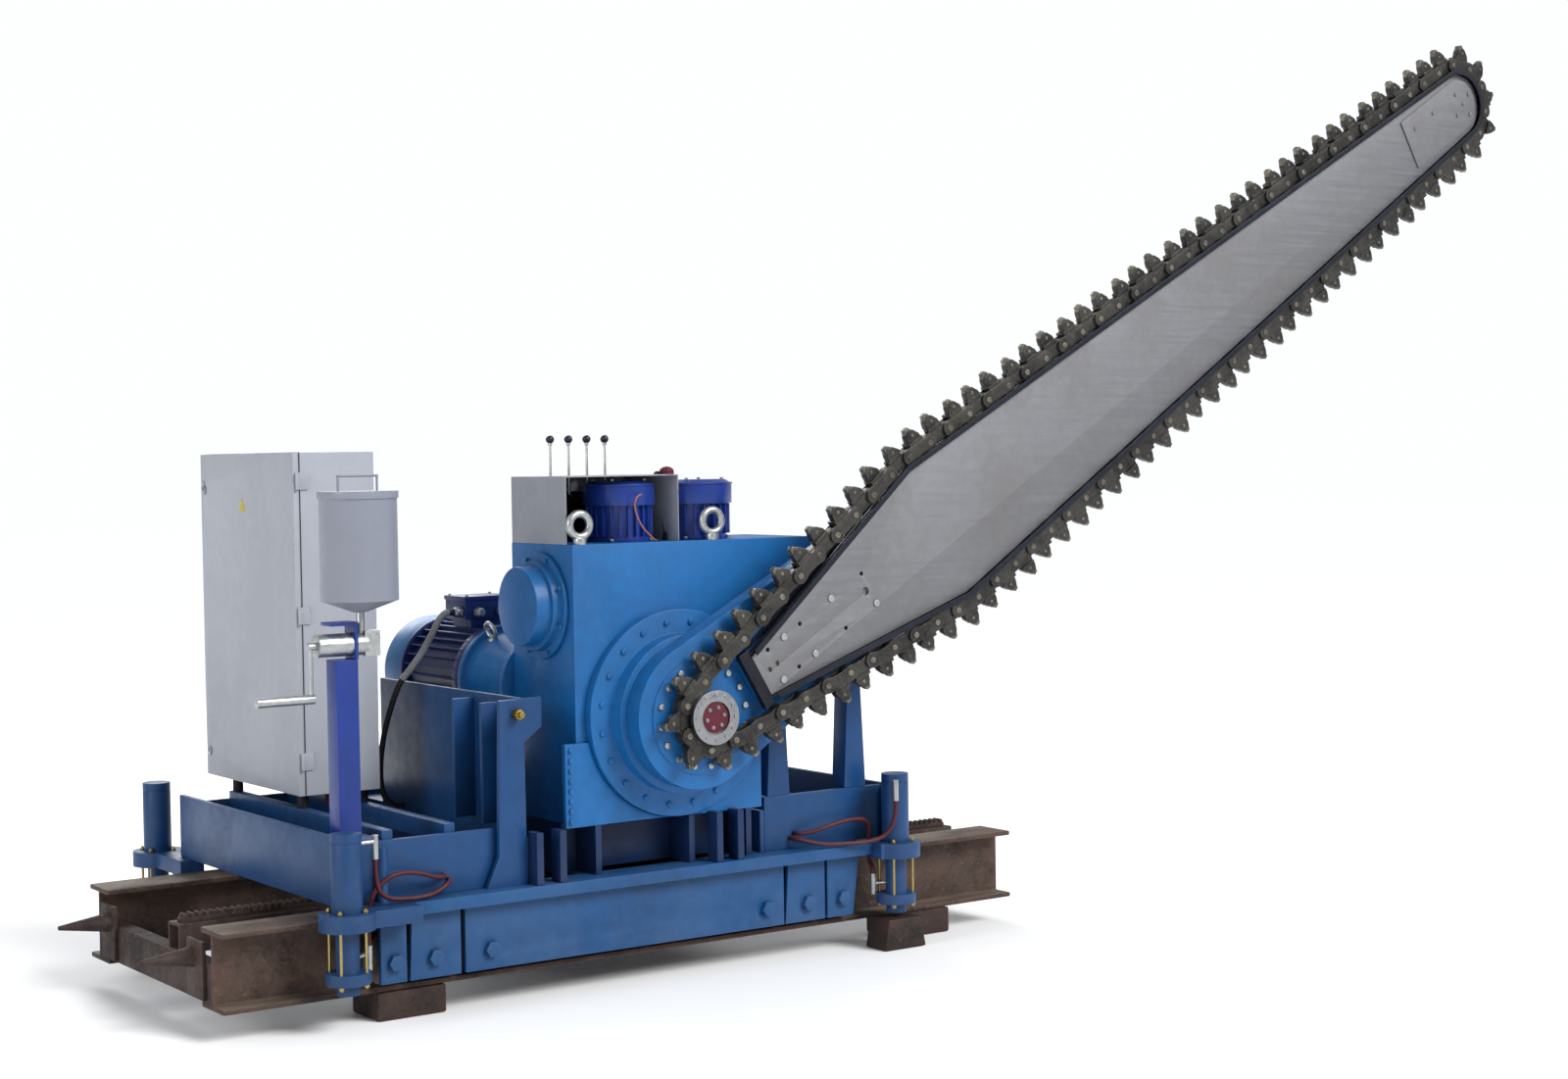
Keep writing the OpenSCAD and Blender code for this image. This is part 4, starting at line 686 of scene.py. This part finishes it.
# %% Cheek plates beside the chain
def edge_strip(inner, outer, low, high):
    """A strip along the bar's edge, from the root past the widest place, round the nose and back."""
    def line(off):
        slope = math.asin((WIDE_HALF - NOSE_R) / (NOSE_AT - WIDE_AT))
        step = (math.pi - 2 * slope) / 24
        arc = [Vector((NOSE_AT, 0)) + polar(NOSE_R + off, -math.pi / 2 + slope + i * step) for i in range(25)]
        return ([Vector((0.262, -0.079 - off)), Vector((WIDE_AT, -WIDE_HALF - off))] + arc
                + [Vector((WIDE_AT, WIDE_HALF + off)), Vector((0.262, 0.079 + off))])
    solid = bmesh.new()
    rows = [[solid.verts.new((p.x, y, p.y)) for p in line(off)] for off, y in
            ((inner, low), (inner, high), (outer, high), (outer, low))]
    for first, second in zip(rows, rows[1:] + rows[:1]):
        for i in range(len(first) - 1):
            solid.faces.new((first[i], first[i + 1], second[i + 1], second[i]))
    solid.faces.new([row[0] for row in rows])
    solid.faces.new([row[-1] for row in reversed(rows)])
    return round_edges(moved(solid, arm_place @ Matrix.Translation((0, CHAIN_Y, 0))), 0.0008)


CHEEK_INNER, CHEEK_OUTER = 0.0008, 0.022
CHEEK_SIDES = ((-0.0335, -0.0285), (0.0285, 0.0325))
cheeks = [edge_strip(CHEEK_INNER, CHEEK_OUTER, low, high) for low, high in CHEEK_SIDES]
shown_piece("chain_cheeks", cheeks, "arm", "guide_steel")
print("cheek plates", len(cheeks))

# %% [markdown]
# Drive hub: the end of the drive shaft is closed by a primed disc with a few screws, inside the bright
# turned ring of the chain wheel. Primer is a flat dark red.

# %% Hub disc and its screws
finishes["primer_red"] = enamel("primer_red", "#6b2438", dust=0.3, rough=0.55, coat=0.0)
hub_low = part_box("sprocket")[0]
shaft_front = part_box("drive_shaft")[0].y
disc = [drum((HUB.x, shaft_front - 0.0055, HUB.z), (HUB.x, shaft_front - 0.0005, HUB.z), 0.054, sides=48)]
shown_piece("hub_disc", disc, "sprocket", "machined_steel", finishes["primer_red"])
DISC_CIRCLE, WHEEL_CIRCLE = 0.036, 0.080
screws = []
for i in range(6):
    a = math.radians(60 * i + 12)
    x, z = HUB.x + DISC_CIRCLE * math.cos(a), HUB.z + DISC_CIRCLE * math.sin(a)
    screws += hex_bolt((x, shaft_front - 0.0055, z), (0, -1, 0), 0.011)
for i in range(12):
    a = math.radians(30 * i)
    x, z = HUB.x + WHEEL_CIRCLE * math.cos(a), HUB.z + WHEEL_CIRCLE * math.sin(a)
    screws.append(drum((x, hub_low.y - 0.003, z), (x, hub_low.y, z), 0.006, sides=12, bevel=0.0005))
shown_piece("hub_screws", screws, "sprocket", "machined_steel")
print("hub disc at y", round(shaft_front, 3))

# %% [markdown]
# The four hydraulic levers are bright rods with black balls. The ball is a glossy moulded plastic, the rod
# is turned and plated, and a round collar covers the pivot.

# %% Levers and knobs
finishes["knob_black"] = rubber("knob_black", "#1b1b2a", 0.22)
for i in range(1, 5):
    name = f"lever_{i}"
    low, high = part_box(name)
    x, y, pivot = (low.x + high.x) / 2, (low.y + high.y) / 2, low.z + 0.011
    top = high.z - 0.015
    rod = [drum((x, y, pivot), (x, y, top - 0.006), 0.005, 0.0042, 20, 0.0005),
           drum((x - 0.009, y, pivot), (x + 0.009, y, pivot), 0.011, sides=24),
           drum((x - 0.017, y, pivot), (x + 0.017, y, pivot), 0.006, sides=20),
           drum((x, y, top - 0.022), (x, y, top - 0.012), 0.0075, sides=20)]
    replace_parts(shown_piece(name + "_rod", rod, name, "lever_chrome"), name)
    shown_piece(name + "_knob", [ball((x, y, top), 0.0152)], name, "lever_chrome", finishes["knob_black"])
print("levers", 4)

# %% [markdown]
# Cable glands are bright nuts with a domed cap. The big motor has one where its cable enters and two closed
# ones beside it, and a ring bolt for lifting stands on its bell. The cable's first stretch runs in a grey
# sleeve.

# %% Motor glands, ring bolt and cable sleeve
def ring(centre, radius, thick, normal, turns=28, sides=12):
    """A ring of round section, standing square to its normal."""
    solid = bmesh.new()
    turn = Vector(normal).to_track_quat("Z", "Y").to_matrix().to_4x4()
    rows = []
    for i in range(turns):
        a = 2 * math.pi * i / turns
        middle = Vector((math.cos(a), math.sin(a), 0)) * radius
        out, along = middle.normalized(), Vector((0, 0, 1))
        rows.append([solid.verts.new(middle + thick * (math.cos(b) * out + math.sin(b) * along))
                     for b in [2 * math.pi * k / sides for k in range(sides)]])
    for i in range(turns):
        for k in range(sides):
            solid.faces.new((rows[i][k], rows[i - 1][k], rows[i - 1][k - 1], rows[i][k - 1]))
    bmesh.ops.transform(solid, matrix=Matrix.Translation(Vector(centre)) @ turn, verts=solid.verts)
    bmesh.ops.recalc_face_normals(solid, faces=solid.faces)
    return solid


def gland(at, outward, size=0.019):
    at, outward = Vector(at), Vector(outward)
    return [drum(at, at + outward * 0.010, size * 1.12, sides=6),
            drum(at + outward * 0.010, at + outward * 0.026, size, sides=32),
            drum(at + outward * 0.026, at + outward * 0.036, size, size * 0.7, 32)]


box_low, box_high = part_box("terminal_box")
cable_z = CABLE_POINTS[0][2]
glands = gland((-0.314, 0.250, cable_z), (-1, 0, 0), 0.020)
for x in (-0.268, -0.172):
    glands += gland((x, box_low.y + 0.010, cable_z), (0, -1, 0), 0.018)
shown_piece("motor_glands", glands, "carriage", "zinc")
eye_at = Vector((-0.300, 0.050, 1.213))
lid_screws = [s for x in (-0.300, -0.130) for y in (0.232, 0.368) for s in
              hex_bolt((x, y, box_high.z), (0, 0, 1), 0.010)]
eye_shank = drum(eye_at - Vector((-0.012, 0, 0.055)), eye_at - Vector((-0.004, 0, 0.028)), 0.018)
shown_piece("motor_ring_bolt", [ring(eye_at, 0.030, 0.008, (1, 0, 0.4)), eye_shank], "carriage", "zinc")
shown_piece("terminal_lid_screws", lid_screws, "carriage", "zinc")
finishes["sleeve_grey"] = rubber("sleeve_grey", "#8b8d8c", 0.5)
sleeve = hose("cable_sleeve", CABLE_POINTS[1:8], 0.0128, "carriage")
sleeve.data.materials.append(finishes["sleeve_grey"])
print("gland height", cable_z)

# %% [markdown]
# The two pump motors on the gearbox are small flanged machines. Their covers are held by screws, one has a
# connector with a short black lead that dips behind it, and a thin brown signal wire makes a loop in front
# of the other.

# %% Pump motor fittings
pump_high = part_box("pump_motors")[1]
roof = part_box("gearbox_housing")[1].z
PUMPS = [(-0.024, 0.128), (0.292, 0.142)]
PUMP_Y = -0.415
fittings, bands = [], []
SCREW_RINGS = [(0.034, pump_high.z, 0.012), (0.012, roof + 0.004, 0.014)]
for x, radius in PUMPS:
    for i in range(4):
        a = math.radians(45 + 90 * i)
        for inset, z, size in SCREW_RINGS:
            at = (x + (radius - inset) * math.cos(a), PUMP_Y + (radius - inset) * math.sin(a), z)
            fittings += hex_bolt(at, (0, 0, 1), size)
    bands.append(drum((x, PUMP_Y, roof + 0.198), (x, PUMP_Y, roof + 0.205), radius + 0.003, sides=64))
shown_piece("pump_screws", fittings, "carriage", "zinc")
shown_piece("pump_cover_bands", bands, "carriage", "pump_blue")
cover = pump_high.z
connector = [drum((0.235, -0.330, cover - 0.004), (0.235, -0.330, cover + 0.030), 0.030, 0.026),
             ball((0.235, -0.330, cover + 0.030), 0.027, 0.7)]
shown_piece("pump_connector", connector, "carriage", "hose_red", finishes["primer_red"])
lead_points = [(0.214, -0.330, cover + 0.016), (0.196, -0.335, cover + 0.026), (0.172, -0.350, cover + 0.022),
               (0.155, -0.375, cover - 0.010), (0.146, -0.410, cover - 0.070), (0.142, -0.440, cover - 0.130),
               (0.141, -0.460, cover - 0.180), (0.141, -0.470, roof + 0.002)]
wire_points = [(-0.020, -0.548, roof + 0.160), (-0.020, -0.560, roof + 0.166), (-0.030, -0.574, roof + 0.168),
               (-0.052, -0.582, roof + 0.158), (-0.062, -0.584, roof + 0.130), (-0.052, -0.584, roof + 0.090),
               (-0.028, -0.584, roof + 0.050), (0.004, -0.584, roof + 0.020), (0.022, -0.582, roof + 0.006),
               (0.034, -0.576, roof + 0.0045)]
finishes["wire_brown"] = rubber("wire_brown", "#8a5a58", 0.4)
for name, points, radius, finish in (("pump_lead", lead_points, 0.006, "cable_black"),
                                     ("signal_wire", wire_points, 0.0035, "wire_brown")):
    lead = hose(name, points, radius, "carriage")
    lead.data.materials.append(finishes[finish])
socket = [drum((0.141, -0.470, roof), (0.141, -0.470, roof + 0.030), 0.016, 0.012),
          drum((0.034, -0.576, roof), (0.034, -0.576, roof + 0.010), 0.008)]
shown_piece("cable_entries", socket, "carriage", "black_rubber")
print("pump fittings", len(fittings))

# %% [markdown]
# The switch cabinet is a folded steel box. Its door closes on a black rubber seal that shows as a thin dark
# line, it has three hinges and two round locks, and a plain yellow triangle marks the electrical side.

# %% Cabinet seal, locks and sign
door_low, door_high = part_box("cabinet_door")
case_low, case_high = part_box("cabinet_shell")
seam_x = door_high.x
front_y, back_y = 0.024, case_high.y
SEAL_IN, SEAL_OUT = 0.004, 0.0012
seal_x = (seam_x - 0.0015, seam_x + 0.0030)
low_z, high_z = door_low.z, door_high.z
SEAL_SPANS = [((front_y - SEAL_OUT, low_z + SEAL_IN), (front_y + SEAL_IN, high_z)),
              ((back_y - SEAL_IN, low_z + SEAL_IN), (back_y + SEAL_OUT, high_z)),
              ((front_y, high_z - SEAL_IN), (back_y, high_z + SEAL_OUT)),
              ((front_y, low_z - SEAL_OUT), (back_y, low_z + SEAL_IN))]
seal = [block((seal_x[0], *start), (seal_x[1], *end)) for start, end in SEAL_SPANS]
shown_piece("cabinet_seal", seal, "carriage", "black_rubber")
locks = []
for z in (0.765, 1.742):
    locks += [drum((door_low.x - 0.001, 0.825, z), (door_low.x + 0.012, 0.825, z), 0.017),
              drum((door_low.x - 0.0045, 0.825, z), (door_low.x, 0.825, z), 0.009, sides=3)]
shown_piece("cabinet_locks", locks, "door", "zinc")
finishes["sign_yellow"] = enamel("sign_yellow", "#d8c21e", dust=0.05, rough=0.4, coat=0.1)
triangle = [(-0.026, 0.0), (0.026, 0.0), (0.0, 0.046)]
sign_turn = Matrix.Rotation(math.radians(-90), 4, "Z")
sign_place = Matrix.Translation((door_low.x + 0.006, 0.476, 1.667)) @ sign_turn
shown_piece("door_sign", [plate(triangle, -0.0012, 0.0002, sign_place, 0.0002)], "door", "cabinet_grey",
            finishes["sign_yellow"])
gland_plate = [block((-0.99, 0.06, case_low.z - 0.006), (-0.84, 0.22, case_low.z + 0.001)),
               drum((-0.93, 0.10, case_low.z - 0.045), (-0.93, 0.10, case_low.z - 0.004), 0.017),
               drum((-0.88, 0.10, case_low.z - 0.030), (-0.88, 0.10, case_low.z - 0.004), 0.014)]
shown_piece("cabinet_cable_entry", gland_plate, "carriage", "hose_red", finishes["primer_red"])
print("cabinet", [round(v, 3) for v in case_high - case_low])

# %% [markdown]
# The set is plain: a pale floor and soft light. One broad sun does most of the work, weaker area lights
# fill from the left and the back, and a pale sky fills the shadows.

# %% Floor and light
def area_light(name, at, towards, size, power, tint=(1, 1, 1)):
    data = bpy.data.lights.new(name, "AREA")
    data.shape, data.size, data.energy, data.color = "DISK", size, power, tint
    light = bpy.data.objects.new(name, data)
    bpy.context.scene.collection.objects.link(light)
    light.location = at
    light.rotation_euler = (Vector(towards) - Vector(at)).to_track_quat("-Z", "Y").to_euler()
    return light


FLOOR_HALF, FLOOR_Z = 60.0, -0.001
floor_mesh = bpy.data.meshes.new("floor")
corners = [(x * FLOOR_HALF, y * FLOOR_HALF, FLOOR_Z) for x, y in ((-1, -1), (1, -1), (1, 1), (-1, 1))]
floor_mesh.from_pydata(corners, [], [(0, 1, 2, 3)])
floor = bpy.data.objects.new("floor", floor_mesh)
bpy.context.scene.collection.objects.link(floor)
floor_finish, tree, surface, output = new_material("floor_paper")
tree.links.new(surface.outputs[0], output.inputs["Surface"])
surface.inputs["Base Color"].default_value = (0.94, 0.94, 0.94, 1)
surface.inputs["Roughness"].default_value = 0.9
floor_mesh.materials.append(floor_finish)
SUN_POWER, SUN_SPREAD = 2.9, math.radians(28)
sun_data = bpy.data.lights.new("key", "SUN")
sun_data.energy, sun_data.angle = SUN_POWER, SUN_SPREAD
sun = bpy.data.objects.new("key", sun_data)
bpy.context.scene.collection.objects.link(sun)
sun.rotation_euler = Vector((-0.34, 0.72, -0.62)).to_track_quat("-Z", "Y").to_euler()
area_light("left", (-10.0, -2.0, 4.0), (-0.9, 0, 1.2), 4.0, 300)
area_light("back", (2.0, 8.0, 6.0), (0.6, 0, 1.2), 6.0, 450)
world = bpy.data.worlds.new("pale_sky")
world.use_nodes = True
sky = world.node_tree.nodes["Background"]
sky.inputs["Color"].default_value = (0.94, 0.97, 1.0, 1)
seen = world.node_tree.nodes.new("ShaderNodeLightPath")
level_node = math_node(world.node_tree, "ADD", 0.55, math_node(world.node_tree, "MULTIPLY",
                       seen.outputs["Is Camera Ray"], 0.5))
world.node_tree.links.new(level_node, sky.inputs["Strength"])
bpy.context.scene.world = world
bpy.context.scene.view_settings.view_transform = "Standard"

# %% Update the scene
bpy.context.view_layer.update()
